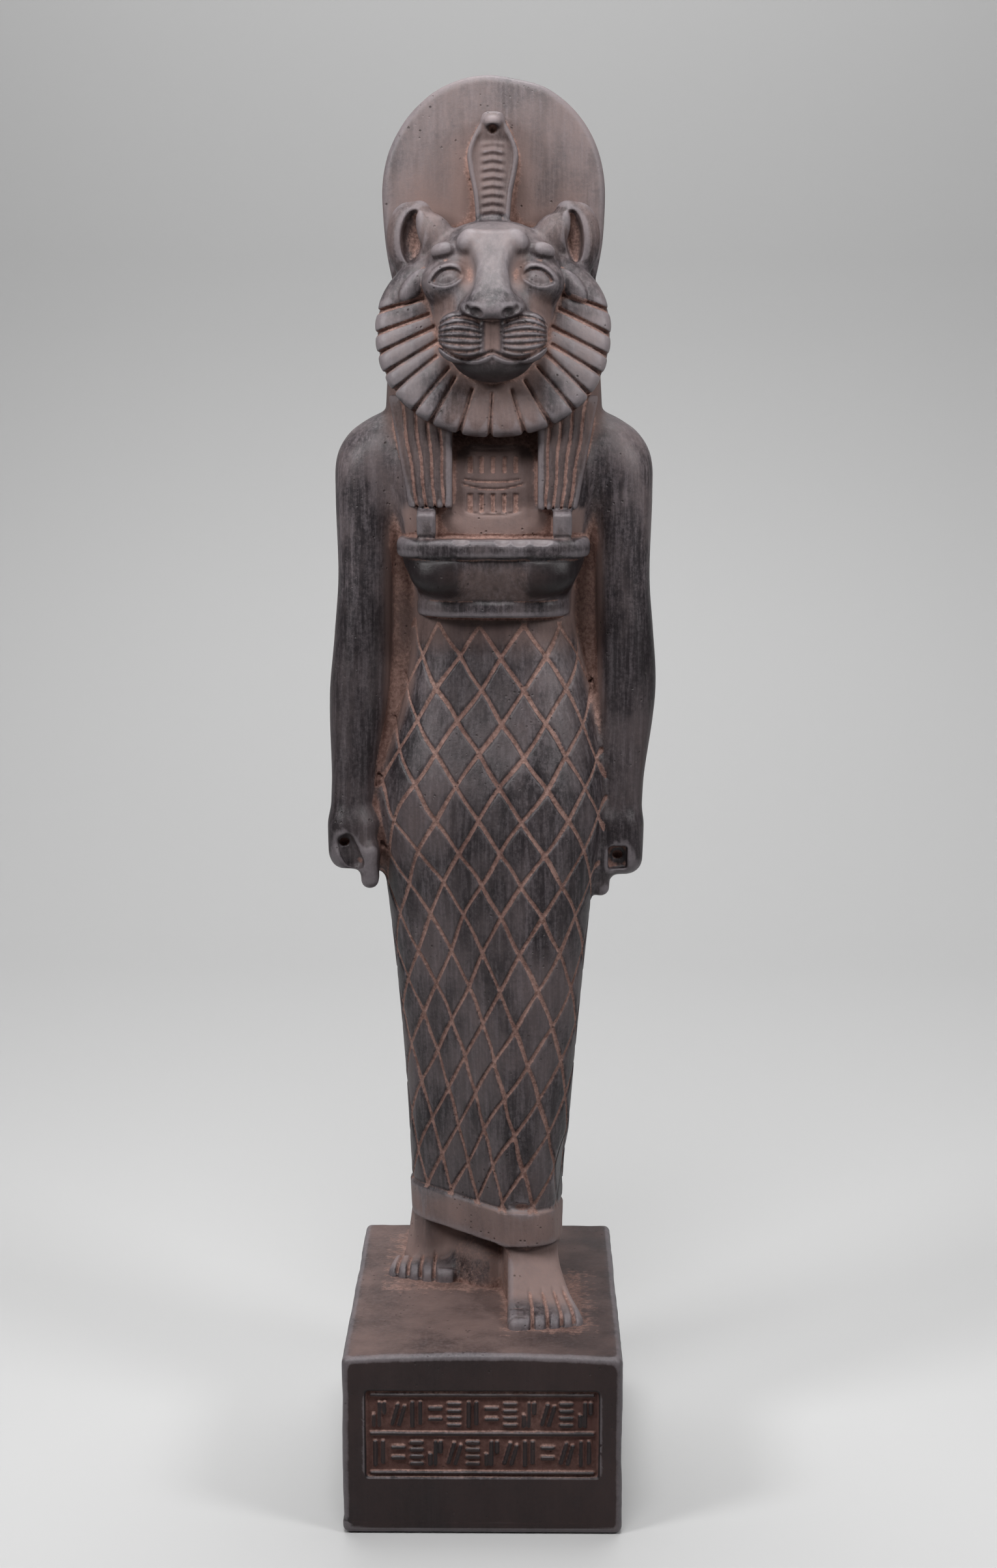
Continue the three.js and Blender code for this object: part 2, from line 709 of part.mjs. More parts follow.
const LEFT_FOOT = { heel: [11.2, 6], toe: [15, -32.5], width: 17.5, outward: 1, ankle: [11.3, -1.5, 6.6, 8], ankleTop: 17 };
const RIGHT_FOOT = { heel: [-12.6, 38], toe: [-17, 4.5], width: 15, outward: -1, ankle: [-12.2, 28, 7, 9], ankleTop: 17 };

function figure() {
  const parts = [
    netDress(),
    dressBand(HEM_BOTTOM, HEM_TOP + 0.3, 0.5),
    trunk(),
    ...bustAndBands(),
    arm(-1),
    arm(1),
    ...backing(),
    wig(),
    ruff(),
    disc(),
    ...cobra(),
    ...collar(),
  ].map(figureSolid);
  parts.push(
    fist(-1),
    fist(1),
    ...webs(),
    ...foot(LEFT_FOOT),
    ...foot(RIGHT_FOOT),
    head(),
    ear(-1),
    ear(1),
    lappet(-1),
    lappet(1),
  );
  return join(parts);
}

// A solid as a three.js geometry.
function geometryOf(made) {
  const { numProp, vertProperties, triVerts } = made.getMesh();
  const position = new Float32Array((vertProperties.length / numProp) * 3);
  for (let i = 0; i < position.length; i++)
    position[i] = vertProperties[Math.floor(i / 3) * numProp + (i % 3)];
  const geometry = new THREE.BufferGeometry();
  geometry.setAttribute("position", new THREE.BufferAttribute(position, 3));
  geometry.setIndex(new THREE.BufferAttribute(triVerts, 1));
  geometry.computeVertexNormals();
  return geometry;
}

const stone = new THREE.MeshStandardMaterial({
  color: 0x4a423f,
  roughness: 0.62,
  metalness: 0,
});

// Solid throughout: the outer skin alone, without the pockets that the joined forms close off.
function outerSkin(made) {
  const joined = solid(geometryOf(made));
  return joined.decompose().reduce((a, b) => (b.volume() > a.volume() ? b : a));
}

const statue = new THREE.Group();
const mesh = new THREE.Mesh(
  geometryOf(outerSkin(figure().add(plinth()))),
  stone,
);
mesh.name = "statue";
statue.add(mesh);

export default statue;
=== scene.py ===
"""A lioness-headed goddess striding on a plinth, cast in one piece, dark and rubbed, with reddish dust.

The figure is built from distance fields, in millimetres, that are joined softly, carved, turned into a mesh
and thinned. Heights of the figure are from the top of the plinth, as in the CAD.
"""

import math
from collections import namedtuple
from functools import cache

import bpy
import numpy as np
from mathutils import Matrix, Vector


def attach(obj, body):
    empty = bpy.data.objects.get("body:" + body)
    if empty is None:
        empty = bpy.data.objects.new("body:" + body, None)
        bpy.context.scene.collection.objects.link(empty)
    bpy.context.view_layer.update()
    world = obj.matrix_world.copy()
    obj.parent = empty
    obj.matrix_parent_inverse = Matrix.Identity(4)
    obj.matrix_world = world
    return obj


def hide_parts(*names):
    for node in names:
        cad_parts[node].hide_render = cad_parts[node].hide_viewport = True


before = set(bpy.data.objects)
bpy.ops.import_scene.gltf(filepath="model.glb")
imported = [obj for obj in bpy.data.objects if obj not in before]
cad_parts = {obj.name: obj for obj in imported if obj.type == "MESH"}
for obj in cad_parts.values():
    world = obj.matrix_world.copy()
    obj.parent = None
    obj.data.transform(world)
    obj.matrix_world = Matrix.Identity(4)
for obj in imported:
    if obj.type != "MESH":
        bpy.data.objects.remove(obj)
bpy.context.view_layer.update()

F = np.float32
# the grids' cells: figure, head, plinth, and the coarse block that tells hollows from ridges
CELL_FIGURE, CELL_HEAD, CELL_PLINTH = ((0.45, 0.34, 0.36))
CELL_WHOLE = 1.2
CORNERS = np.array([(a, b, c) for a in (0, 1) for b in (0, 1) for c in (0, 1)])  # of a cell

MID = 2.2  # the head and the chest stand this far to the figure's left
PLINTH_H = 45.0
PANEL_LOW, PANEL_HIGH, PANEL_HALF, PANEL_DEPTH = 14.5, 36.6, 28.2, 1.2
STROKES = 12  # marks in a row
NET_COLUMNS, NET_KNEE, HALF_MESH_ABOVE, HALF_MESH_BELOW = 14, 101.0, 7.96, 9.35
NET_FRONT = math.radians(-80.7)
NET_LOW, NET_HIGH, NET_STEP, NET_TURNS = 12, 184, 1.5, 240  # the chart of the net, in height and round


# Numbers that run smoothly with height.


def smooth(low, high, v):
    """0 at low and 1 at high, with a soft start and end. Low may be the larger one."""
    t = np.clip((v - low) / (high - low), 0, 1)
    return t * t * (3 - 2 * t)


def between(v, start, full, fade, end):
    """1 from full to fade, and 0 outside start and end."""
    return smooth(start, full, v) * smooth(end, fade, v)


def lean(z):
    """How far the body's middle stands to the figure's left."""
    return 0.2 + 2 * smooth(118, 168, z)


def track(stations, z):
    """The columns of [height, ...] stations at the heights z, along Catmull-Rom curves."""
    s = np.array(stations, float)
    h = s[:, 0]
    z = np.clip(np.asarray(z, float), h[0], h[-1])
    i = np.clip(np.searchsorted(h, z, side="right") - 1, 0, len(h) - 2)
    a, b = s[i], s[i + 1]
    p, n = s[np.maximum(i - 1, 0)], s[np.minimum(i + 2, len(h) - 1)]
    span = (b[..., 0] - a[..., 0])[..., None]
    t = ((z - a[..., 0]) / span[..., 0])[..., None]
    m0 = (b - p) / (b[..., :1] - p[..., :1]) * span
    m1 = (n - a) / (n[..., :1] - a[..., :1]) * span
    v = a * (2 * t**3 - 3 * t**2 + 1) + m0 * (t**3 - 2 * t**2 + t)
    v = v + b * (3 * t**2 - 2 * t**3) + m1 * (t**3 - t**2)
    return [v[..., k].astype(F) for k in range(1, s.shape[1])]


# Distance fields and how they meet.


def smin(a, b, k):
    """The nearer of two forms, joined with a fillet of about k."""
    if k <= 0:
        return np.minimum(a, b)
    h = np.clip(0.5 + 0.5 * (b - a) / k, 0, 1)
    return b + (a - b) * h - k * h * (1 - h)


def smax(a, b, k):
    """What two forms share, with an edge rounded by about k."""
    return -smin(-a, -b, k)


class Field:
    """A block of space, sampled on a grid, that forms are joined to and carved from."""

    FAR = 9  # a distance that stands for empty space

    def __init__(self, low, high, step):
        self.step, self.low = step, np.array(low, float)
        self.axes = [np.arange(low[k], high[k] + step, step).astype(F) for k in range(3)]
        self.d = np.full([len(a) for a in self.axes], self.FAR, F)
        self.lines = np.zeros(self.d.shape, F)

    def window(self, low, high):
        """The part of the grid in a box, and its coordinates."""
        cut = [slice(*np.searchsorted(self.axes[k], (low[k], high[k]))) for k in range(3)]
        x, y, z = (self.axes[k][cut[k]] for k in range(3))
        return tuple(cut), x[:, None, None], y[None, :, None], z[None, None, :]

    def change(self, form, low, high, meet):
        """Lets form meet what is there, in a box."""
        cut, x, y, z = self.window(low, high)
        if min(x.size, y.size, z.size):
            self.d[cut] = meet(self.d[cut], form(x, y, z).astype(F))

    def add(self, form, low, high, k=0.0):
        self.change(form, low, high, lambda a, b: smin(a, b, k))

    def cut(self, form, low, high, k=0.0):
        self.change(form, low, high, lambda a, b: smax(a, -b, k))

    def sink(self, depth, low, high):
        """Lowers the surface by depth(x, y, z), and remembers the lines that this draws."""
        cut, x, y, z = self.window(low, high)
        if min(x.size, y.size, z.size):
            by = np.broadcast_to(depth(x, y, z), self.d[cut].shape).astype(F)
            self.d[cut] += by
            self.lines[cut] = np.maximum(self.lines[cut], by)

    def ball(self, c, r, turn=(0, 0, 0), k=0.0, cut=False):
        reach = max(r) + 2 + k
        low, high = [v - reach for v in c], [v + reach for v in c]
        (self.cut if cut else self.add)(ellipsoid(c, r, turn), low, high, k)

    def at(self, values, points):
        """Values of a grid like this one at points, blended between its nodes."""
        g = (points - self.low) / self.step
        n = np.array(values.shape)
        g = np.clip(g, 0, n - 1.001)
        i = g.astype(int)
        f = g - i
        out = np.zeros(len(points))
        for corner in CORNERS:
            out += np.prod(np.abs(1 - corner - f), 1) * values[tuple((i + corner).T)]
        return out


def turned(c, turn):
    """Coordinates about c in a frame turned by angles about X, Y and Z."""
    cx, cy, cz = c
    ax, ay, az = turn

    def local(x, y, z):
        x, y, z = x - cx, y - cy, z - cz
        if az:
            x, y = x * math.cos(az) + y * math.sin(az), y * math.cos(az) - x * math.sin(az)
        if ay:
            x, z = x * math.cos(ay) - z * math.sin(ay), z * math.cos(ay) + x * math.sin(ay)
        if ax:
            y, z = y * math.cos(ax) + z * math.sin(ax), z * math.cos(ax) - y * math.sin(ax)
        return x, y, z

    return local


def ellipsoid(c, r, turn=(0, 0, 0)):
    """Distance from an ellipsoid with the radii r."""
    local = turned(c, turn)

    def form(x, y, z):
        x, y, z = local(x, y, z)
        k0 = np.sqrt((x / r[0]) ** 2 + (y / r[1]) ** 2 + (z / r[2]) ** 2)
        k1 = np.sqrt((x / r[0] ** 2) ** 2 + (y / r[1] ** 2) ** 2 + (z / r[2] ** 2) ** 2)
        return k0 * (k0 - 1) / np.maximum(k1, 1e-4)

    return form


def block(past):
    """Distance from a block, from how far a place is past its three pairs of sides."""
    far = np.sqrt(sum(np.maximum(v, 0) ** 2 for v in past))
    return far + np.minimum(np.maximum(np.maximum(past[0], past[1]), past[2]), 0)


def slab(c, half, round_by=0.5, turn=(0, 0, 0)):
    """Distance from a block with rounded edges."""
    local = turned(c, turn)

    def form(x, y, z):
        return block([np.abs(v) - (h - round_by) for v, h in zip(local(x, y, z), half)]) - round_by

    return form


def oval(dx, dy, a, b, power):
    """Distance from an oval with rounded corners, along the ray from its middle."""
    k = ((np.abs(dx) / a) ** power + (np.abs(dy) / b) ** power) ** (1 / power)
    return np.sqrt(dx * dx + dy * dy) * (1 - 1 / np.maximum(k, 1e-3))


def line_in_xz(x, z, a, b):
    """Distance in front view from the line between two points."""
    ux, uz = b[0] - a[0], b[1] - a[1]
    t = np.clip(((x - a[0]) * ux + (z - a[1]) * uz) / (ux * ux + uz * uz), 0, 1)
    return np.sqrt((x - a[0] - t * ux) ** 2 + (z - a[1] - t * uz) ** 2)


def ridge(off, width):
    """1 on a line and falling off like a bell, off to its sides."""
    return np.exp(-((off / width) ** 2))


def rough(x, y, z, size, seed):
    """Soft irregular waves from -1 to 1, for work done by hand."""
    s = 6.283 / size
    a = np.sin(x * s * 0.91 + z * s * 0.37 + seed) + np.sin(y * s * 1.13 - z * s * 0.53 + seed * 2.1)
    b = np.sin(z * s * 0.83 + x * s * 0.29 + y * s * 0.41 + seed * 3.7)
    return (a + b + np.sin(x * s * 1.7 - y * s * 1.3 + z * s * 1.9 + seed * 5.3) * 0.6) / 3.2


# The dress: two legs wrapped in taut cloth with a net over it.

# height, then for each leg its middle and radius
LEGS = [
    [14, 9.5, -3, 9.6, -7, 13, 12],
    [62, 10.2, -3.5, 12.4, -7.5, 12, 14],
    [104, 10.6, 0, 16.2, -8.6, 12, 17],
    [128, 11, 5, 19.2, -10.2, 12, 19],
    [152, 9, 8.5, 16.6, -8, 12, 15.6],
    [175, 5.6, 10.5, 14.4, -5.4, 12, 14],
]
# height, half width, front, back, and how square the section is
TRUNK = [
    [168, 18.5, -3.5, 27, 2.2],
    [181, 20, -4.5, 27, 2.3],
    [192, 23, -8, 28, 2.5],
    [205, 26, -8.5, 29, 2.5],
    [216, 29, -5, 28, 2.4],
    [224, 26, 1, 24, 2.2],
    [230, 18, 4, 20, 2.0],
]
# height, distance from the middle, depth, half width, half depth
ARM = [
    [112, 34.0, 5, 4.0, 4.8],
    [118, 34.2, 5, 4.8, 5.4],
    [125, 34.3, 5, 5.1, 5.8],
    [134, 34.2, 6, 5.4, 6.4],
    [148, 33.9, 8, 7.0, 7.6],
    [157, 33.7, 8.6, 7.5, 8.2],
    [170, 33.0, 9, 7.2, 8.4],
    [184, 32.3, 9.5, 6.9, 8.6],
    [205, 31.5, 10, 8.2, 9.6],
    [214, 29.7, 10.5, 9.5, 10],
    [220, 26.5, 11, 9.2, 8.4],
    [224.6, 23.5, 12, 5.6, 5],
]


def wrapped(x, y, z):
    """Distance from the cloth, which is taut round the two legs."""
    ax, ay, ar, bx, by, br = track(LEGS, z)
    x = x - lean(z).astype(F)
    length = np.hypot(bx - ax, by - ay)
    ux, uy = (bx - ax) / length, (by - ay) / length
    along = (x - ax) * ux + (y - ay) * uy
    across = np.abs((y - ay) * ux - (x - ax) * uy)
    s = (ar - br) / length
    c = np.sqrt(1 - s * s)
    side = -s * across + c * along
    d = c * across + s * along - ar
    d = np.where(side > c * length, np.hypot(across, along - length) - br, d)
    return np.where(side < 0, np.hypot(across, along) - ar, d)


def net_stretch(z):
    """How much wider the net's columns are at the front than at the back."""
    return 1 + 0.29 * smooth(130, 168, z)


def net_drift(z):
    """How many columns the net has turned round the legs."""
    return -0.95 * (1 - smooth(10, 86, z))


@cache
def net_chart():
    """Which column of the net lies at a height and an angle: the net is even along the cloth."""
    z = np.arange(NET_LOW, NET_HIGH, NET_STEP)[:, None]
    angle = NET_FRONT + np.linspace(0, 2 * math.pi, NET_TURNS + 1)[None, :]
    low, high = np.zeros((len(z), NET_TURNS + 1)), np.full((len(z), NET_TURNS + 1), 60.0)
    for _ in range(26):
        r = (low + high) / 2
        outside = wrapped(lean(z) + r * np.cos(angle), 9 + r * np.sin(angle), z) > 0
        low, high = np.where(outside, low, r), np.where(outside, r, high)
    x, y = low * np.cos(angle), low * np.sin(angle)
    run = np.concatenate([0 * z, np.cumsum(np.hypot(np.diff(x), np.diff(y)), 1)], 1)
    half = NET_COLUMNS / 2
    w = np.linspace(-half, half, 141)
    for i, zi in enumerate(z[:, 0]):
        stretch = net_stretch(zi) + (1 - net_stretch(zi)) * smooth(0.4 * half, half, np.abs(w))
        s = run[i] / run[i, -1] * NET_COLUMNS - net_drift(zi)
        run[i] = np.interp((s + half) % NET_COLUMNS - half, w * stretch, w)
    return run


def net_place(x, y, z):
    """The column and the row of the net at a place on the dress."""
    chart = net_chart()
    turn = (np.arctan2(y - 9, x - lean(z)) - NET_FRONT) % (2 * math.pi) / (2 * math.pi) * NET_TURNS
    up = np.clip((z - NET_LOW) / NET_STEP + 0 * turn, 0, len(chart) - 1.001)
    i, j = up.astype(int), np.minimum(turn.astype(int), NET_TURNS - 1)
    f, g = up - i, turn - j
    w = (chart[i, j] * (1 - g) + chart[i, j + 1] * g) * (1 - f)
    w = w + (chart[i + 1, j] * (1 - g) + chart[i + 1, j + 1] * g) * f
    sag = 0.45 * np.maximum(-w, 0) ** 1.5 * smooth(75, 90, z) * smooth(132, 122, z)
    sag = sag + 1.5 * np.maximum(w - 1.3, 0) * smooth(128, 136, z) * smooth(156, 148, z)
    h = z + sag - NET_KNEE
    row = h / np.where(h > 0, HALF_MESH_ABOVE, HALF_MESH_BELOW) / 2
    w = w + 0.022 * np.sin(z * 0.16 + w * 2.3) + 0.015 * np.sin(z * 0.43 - w * 1.7)
    return w, row + 0.014 * np.sin(w * 2.9 + z * 0.09) + 0.008 * np.sin(w * 7.1 - z * 0.2)


def cord_step(z):
    """How far it is from cord to cord, across the cords."""
    return 8.1 + 1.0 * smooth(60, 120, z)


def hem_lift(x):
    """How much higher the hem is at the figure's right."""
    return 1.5 * (1 - smooth(-19, 8, x))


def on_cloth(x, y, z):
    return smooth(1.6, 0.7, np.abs(wrapped(x, y, z)))


def on_net(x, y, z):
    return on_cloth(x, y, z) * smooth(23.6, 24.4, z - hem_lift(x)) * smooth(174.2, 172.5, z)


def net(x, y, z):
    """How deep the cords of the net are cut."""
    w, row = net_place(x, y, z)
    deep = 0
    for u in (w + row, w - row):
        off = np.abs(u - np.round(u)) * cord_step(z)
        wide = 0.56 + 0.1 * np.sin(z * 0.31 + np.round(u) * 1.9)
        deep = np.maximum(deep, np.exp(-((off / wide) ** 4)))
    hem = 0.35 * ridge(z - hem_lift(x) - 24.8, 0.45) * on_cloth(x, y, z)
    return np.maximum(0.55 * deep * on_net(x, y, z), hem)


def dress(x, y, z):
    """The cloth with its hem band, cut flat below and at its front corner."""
    d = wrapped(x, y, z)
    h = z - hem_lift(x)
    band = between(h, 13.0, 14.2, 24.0, 24.8)
    d = d - 0.5 * band
    corner = 0.966 * (x - 17.3) - 0.26 * (y + 11.5) - 40 * smooth(25, 85, z) ** 2
    d = smax(d, corner, 0.3)
    return smax(smax(d, 15 - h, 0.5), z - 180, 2)


def column(stations, low, high, k=1.5):
    """A form with oval sections that follow stations, from low to high."""

    def form(x, y, z):
        half, front, back, power = track(stations, z)
        d = oval(x - lean(z).astype(F), y - (front + back) / 2, half, (back - front) / 2, power)
        return smax(smax(d, low - z, k), z - high, k)

    return form


def arm(side):
    def form(x, y, z):
        cx, cy, half, deep = track(ARM, z)
        d = oval(x - lean(z).astype(F) - side * cx, y - cy, half, deep, 2.2)
        return smax(smax(d, 112 - z, 2), z - 224.6, 2)

    return form


# inner, outer_heel and outer_toe are in X, front and heel in Y; rise is how fast the instep climbs, fall how fast
# it drops outwards, cuts where the cuts between the toes end, ankle a middle and radii, low and high a box
Foot = namedtuple("Foot", "side inner outer_heel outer_toe front heel rise fall cuts join ankle low high")
FEET = (
    Foot(1, 5.9, 15.5, 25.6, -32.6, 9, 0.045, 0, (15, 11), 3.5, (11.4, -1.8, 6.0, 7.6), (0, -36, -2), (30, 14, 20)),
    Foot(-1, -7.4, -17.5, -26.2, 2.4, 42, 0.08, 0.9, (10, 7), 2.5, (-12.4, 24, 7, 11), (-31, -3, -2), (-2, 42.5, 20)),
)
TOES = (0.0, 0.32, 0.51, 0.69, 0.85, 1.0)  # where the toes meet, as shares of the foot's width


def across_foot(x, y, which):
    """The foot's outer edge, how far out a place is, from 0 to 1, and how far behind the toes' tips."""
    share = np.clip((which.heel - y) / (which.heel - which.front), 0, 1)
    out = which.outer_heel + (which.outer_toe - which.outer_heel) * smooth(0, 0.95, share)
    u = (x - which.inner) / (out - which.inner)
    return out, u, y - (which.front + 5.5 * np.clip(u, 0, 1) ** 2)


def foot(which):
    """A bare foot in plan, whose height falls from the ankle to the toes."""
    inner, side = which.inner, which.side

    def form(x, y, z):
        out, u, s = across_foot(x, y, which)
        dent = 0
        for a, b in zip(TOES[:-1], TOES[1:]):
            dent = np.where((u >= a) & (u < b), (2 * (u - a) / (b - a) - 1) ** 4 * 1.2, dent)
        plan = smax(smax((inner - x) * side, (x - out) * side, 2), smax(dent - s, y - which.heel, 2.4), 1.8)
        climb = np.maximum(s - 9, 0)
        top = 3.4 + 0.17 * np.maximum(s, 0) + which.rise * climb**2 - 0.08 * np.abs(x - inner)
        top = top - which.fall * np.maximum(np.abs(x - inner) - 9, 0) * smooth(7, 12, s)
        d = smax(plan, (z - np.minimum(top, 16)) * 0.85, 2.6)
        return smax(d, -1.5 - z, 0)

    return form


def toes(which):
    """The cuts between the toes, and the big toe's nail."""

    def depth(x, y, z):
        out, u, s = across_foot(x, y, which)
        deep = 0
        for cut in TOES[1:-1]:
            off = np.abs(u - cut) * np.abs(out - which.inner)
            deep = np.maximum(deep, 0.85 * ridge(off, 0.42) * smooth(*which.cuts, s))
        nail = 0.35 * ridge(s - 6.4, 0.35) * smooth(0.28, 0.24, u) * smooth(0.03, 0.06, u)
        nail = nail + 0.25 * ridge(s - 2.2, 0.4) * smooth(0.28, 0.24, u)
        return np.maximum(deep, nail) * smooth(-3, -1, s) * (z > 0.3) * smooth(12, 9, z) * (y < which.heel)

    return depth


def ankle(which):
    def form(x, y, z):
        cx, cy, half, deep = which.ankle
        return smax(oval(x - cx, y - cy, half + 0 * z, deep + 0 * z, 2.4), z - 20, 1)

    return form


# the palm's and the thumb's low ends, then the hollow: distance out, height, half sizes, rounding, lean, bore
Fist = namedtuple("Fist", "palm thumb out up half soft lean bore")
FISTS = {
    -1: Fist(110.4, 105.6, 34.2, 114.8, (2.6, 3.4, 4.9), 2.0, 0.42, 1.4),
    1: Fist(108.8, 103.8, 33.4, 113.6, (2.4, 3.4, 2.9), 0.9, 0, 0),
}
PALM_TOP, THUMB_TOP = 125, 117


def fist(field, side):
    """A palm with soft edges, a hollow in its front and the thumb pointing down inside it."""
    hand = FISTS[side]

    def place(out):
        return 0.1 + side * out

    middle, half = (hand.palm + PALM_TOP) / 2, (PALM_TOP - hand.palm) / 2
    palm = slab((place(33.7), 4.4, middle), (5.7, 6.3, half), 4.2, (-0.06, side * -0.04, 0))
    field.add(palm, (place(33.6) - 10, -6, 104), (place(33.6) + 10, 14, 131), 3.5)
    middle, half = (hand.thumb + THUMB_TOP) / 2, (THUMB_TOP - hand.thumb) / 2
    thumb = slab((place(29.4), 1.6, middle), (2.2, 3.7, half), 2.1, (0.06, side * 0.05, 0))
    field.add(thumb, (place(29) - 6, -6, 100), (place(29) + 6, 9, 122), 2.2)
    x = place(hand.out)
    hollow = slab((x, -3.4, hand.up), hand.half, hand.soft, (0.12, -hand.lean, 0))
    field.cut(hollow, (x - 8, -9, 104), (x + 8, 3, 124), 0.6)
    bore = (place(hand.out + hand.bore), 0.2, hand.up + hand.half[2] - 2.2)
    field.ball(bore, (1.3, 1.8, 1.1), k=0.3, cut=True)


# like TRUNK: the bust, its band and the belt below it
BUST = [
    [177, 18.5, -7.0, 20, 2.8],
    [180, 19.0, -8.0, 20, 2.8],
    [183, 20.2, -9.8, 20, 2.8],
    [186.5, 21.8, -11.9, 20, 3.0],
    [190.5, 23.0, -13.0, 20, 3.6],
]
BAND = [[180, 23.9, -14.9, 20, 4.0], [200, 23.9, -14.3, 20, 4.0]]
BELT = [[170, 19.0, -7.6, 24, 3.0], [182, 19.4, -7.9, 24, 3.0]]
STRAPS = (-14.0, 19.1)


def bust(f):
    """A shelf with two soft bumps, then its band, the belt and the straps."""
    f.add(column(BUST, 177, 190.5, 1.2), (-24, -16, 173), (29, 24, 194), 1)
    for side in (-1, 1):
        f.ball((MID + side * 12.4, -7.6, 186.0), (8.0, 6.4, 5.8), (0.3, 0, side * -0.1), 4)
    f.add(column(BAND, 189.6, 194.5, 1.9), (-26, -17, 186), (30, 24, 198), 0.25)
    f.add(column(BELT, 174.7, 178.7, 1.1), (-22, -12, 171), (26, 28, 182), 0.25)
    for x in STRAPS:
        strap = slab((x, -9.2, 197.4), (2.3, 3.6, 4.4), 0.8, (0.3, 0, 0))
        f.add(strap, (x - 5, -17, 190), (x + 5, 0, 206), 0.5)


def backing(f):
    """Stone left between the arms and the body, the back pillar, and what is left between the legs."""
    for side in (-1, 1):
        x = side * 22.5
        f.add(slab((x + 1, 15.8, 161), (11.5, 6.5, 53), 2), (x - 16, 5, 104), (x + 18, 26, 218), 2.5)
        fist(f, side)
    f.add(slab((0, 27, 121), (15.5, 13, 123), 1.2), (-19, 10, -2), (19, 42.5, 248), 0.8)
    f.add(slab((-1.8, 26, 8), (6.5, 13.5, 14), 2), (-14, 8, -2), (10, 42.5, 26), 2)
    f.ball((-2, 15, 0), (9.5, 16.5, 16), (0, 0, 0.35), 3)


def wig(x, y, z):
    """The wig behind the ruff, with its strands."""
    half = 27.2 - 2 * smooth(217, 262, z)
    d = oval(x - MID, y - 12, half, 12.5, 2.6)
    d = d + 0.45 * ridge(np.abs((x * 0.42) % 1 - 0.5), 0.2) * (y < 6)
    return smax(smax(d, 206 - z, 2), z - 262, 1)


def figure():
    """All that stands on the plinth, without the head."""
    f = Field((-43, -36, -2), (45.5, 42.5, 262), CELL_FIGURE)
    f.add(dress, (-33, -18, 11), (34, 33, 184))
    f.sink(net, (-33, -18, 22), (34, 33, 176))
    f.add(column(TRUNK, 168, 231), (-33, -14, 164), (37, 34, 236), 3)
    for side in (-1, 1):
        f.add(arm(side), (side * 33 - 14, -8, 108), (side * 33 + 14, 26, 229), 4.5)
    bust(f)
    backing(f)
    for which in FEET:
        x, y = which.ankle[:2]
        f.add(ankle(which), (x - 11, y - 13, -2), (x + 11, y + 13, 22), 3)
    for which in FEET:
        f.add(foot(which), which.low, which.high, which.join)
        f.sink(toes(which), which.low, which.high)
    f.add(wig, (-29, -3, 200), (34, 28, 266), 1.5)
    for side in (-1, 1):
        box = (2 - side * 2 - 28, -16, 198), (2 + 28, 6, 232)
        f.add(lappet(side), *box, 0.4)
        f.sink(flutes(side), *box)
    f.sink(collar, (-8, -16, 196), (12, 0, 219))
    f.sink(band_lines, (-24, -18, 172), (29, 4, 197))
    for c, r in NICKS:
        f.ball(c, r, k=0.2, cut=True)
    return f


# Chips in the band, the belt and the hem: middle and radii.
NICKS = (
    ((-5.6, -14.8, 194.2), (2.2, 1.7, 1.1)), ((4.6, -14.8, 194.3), (2.0, 1.8, 1.3)),
    ((8.8, -14.8, 194.4), (2.4, 1.9, 1.6)), ((14.2, -14.8, 194.3), (3.4, 1.8, 1.4)),
    ((16.6, -8.4, 178.7), (4, 1.8, 1.0)), ((9.5, -13.2, 25.6), (3.4, 1.2, 1.3)),
)


def lappet_shape(side, x, z):
    """A lappet's inner edge and low end, then the place along and up it, and its outer edge there."""
    inner, bottom = (9.9, 201.9) if side < 0 else (10.9, 201.4)
    x = (x - MID) * side
    t = (z - bottom) / 24
    return inner, bottom, x, t, 20.5 + 4.6 * t


def lappet(side):
    def form(x, y, z):
        inner, bottom, x, t, outer = lappet_shape(side, x, z)
        front = -11.2 + 2.6 * t + 0.03 * (x - 12) ** 2 * smooth(12, 24, x)
        d = smax(smax(inner - x, x - outer, 0.5), smax(front - y, y - 4, 0.5), 0.9)
        return smax(smax(d, bottom - z, 0.8), z - 229, 1)

    return form


def flutes(side):
    def depth(x, y, z):
        inner, bottom, x, t, outer = lappet_shape(side, x, z)
        share = (x - inner) / (outer - inner)
        wave = share * 5 + 0.06 * np.sin(z * 0.5 + 3 * share)
        off = np.abs(wave - np.round(wave)) / 5 * (outer - inner)
        inside = (share > 0.1) & (share < 0.93) & (z > bottom) & (y < -3 + 3 * t)
        return 0.65 * ridge(off, 0.42) * inside

    return depth


def band_lines(x, y, z):
    """Dusty creases above and below the band and the belt."""
    deep = 0
    for at, half in ((194.9, 21), (189.3, 22.5), (178.9, 18), (174.4, 18.6)):
        sway = at + 0.12 * np.sin(x * 0.7 + at)
        deep = np.maximum(deep, 0.3 * ridge(z - sway, 0.32) * smooth(half + 1, half - 1, np.abs(x - MID)))
    return deep * (y < 2)


# height, how strongly the line sags, half length, depth, width
COLLAR_LINES = (
    (208.0, 1, 7, 0.5, 0.34), (206.2, 2, 7.6, 0.5, 0.34), (215.8, 1, 5.5, 0.35, 0.3), (200, 2, 6.6, 0.3, 0.35),
)


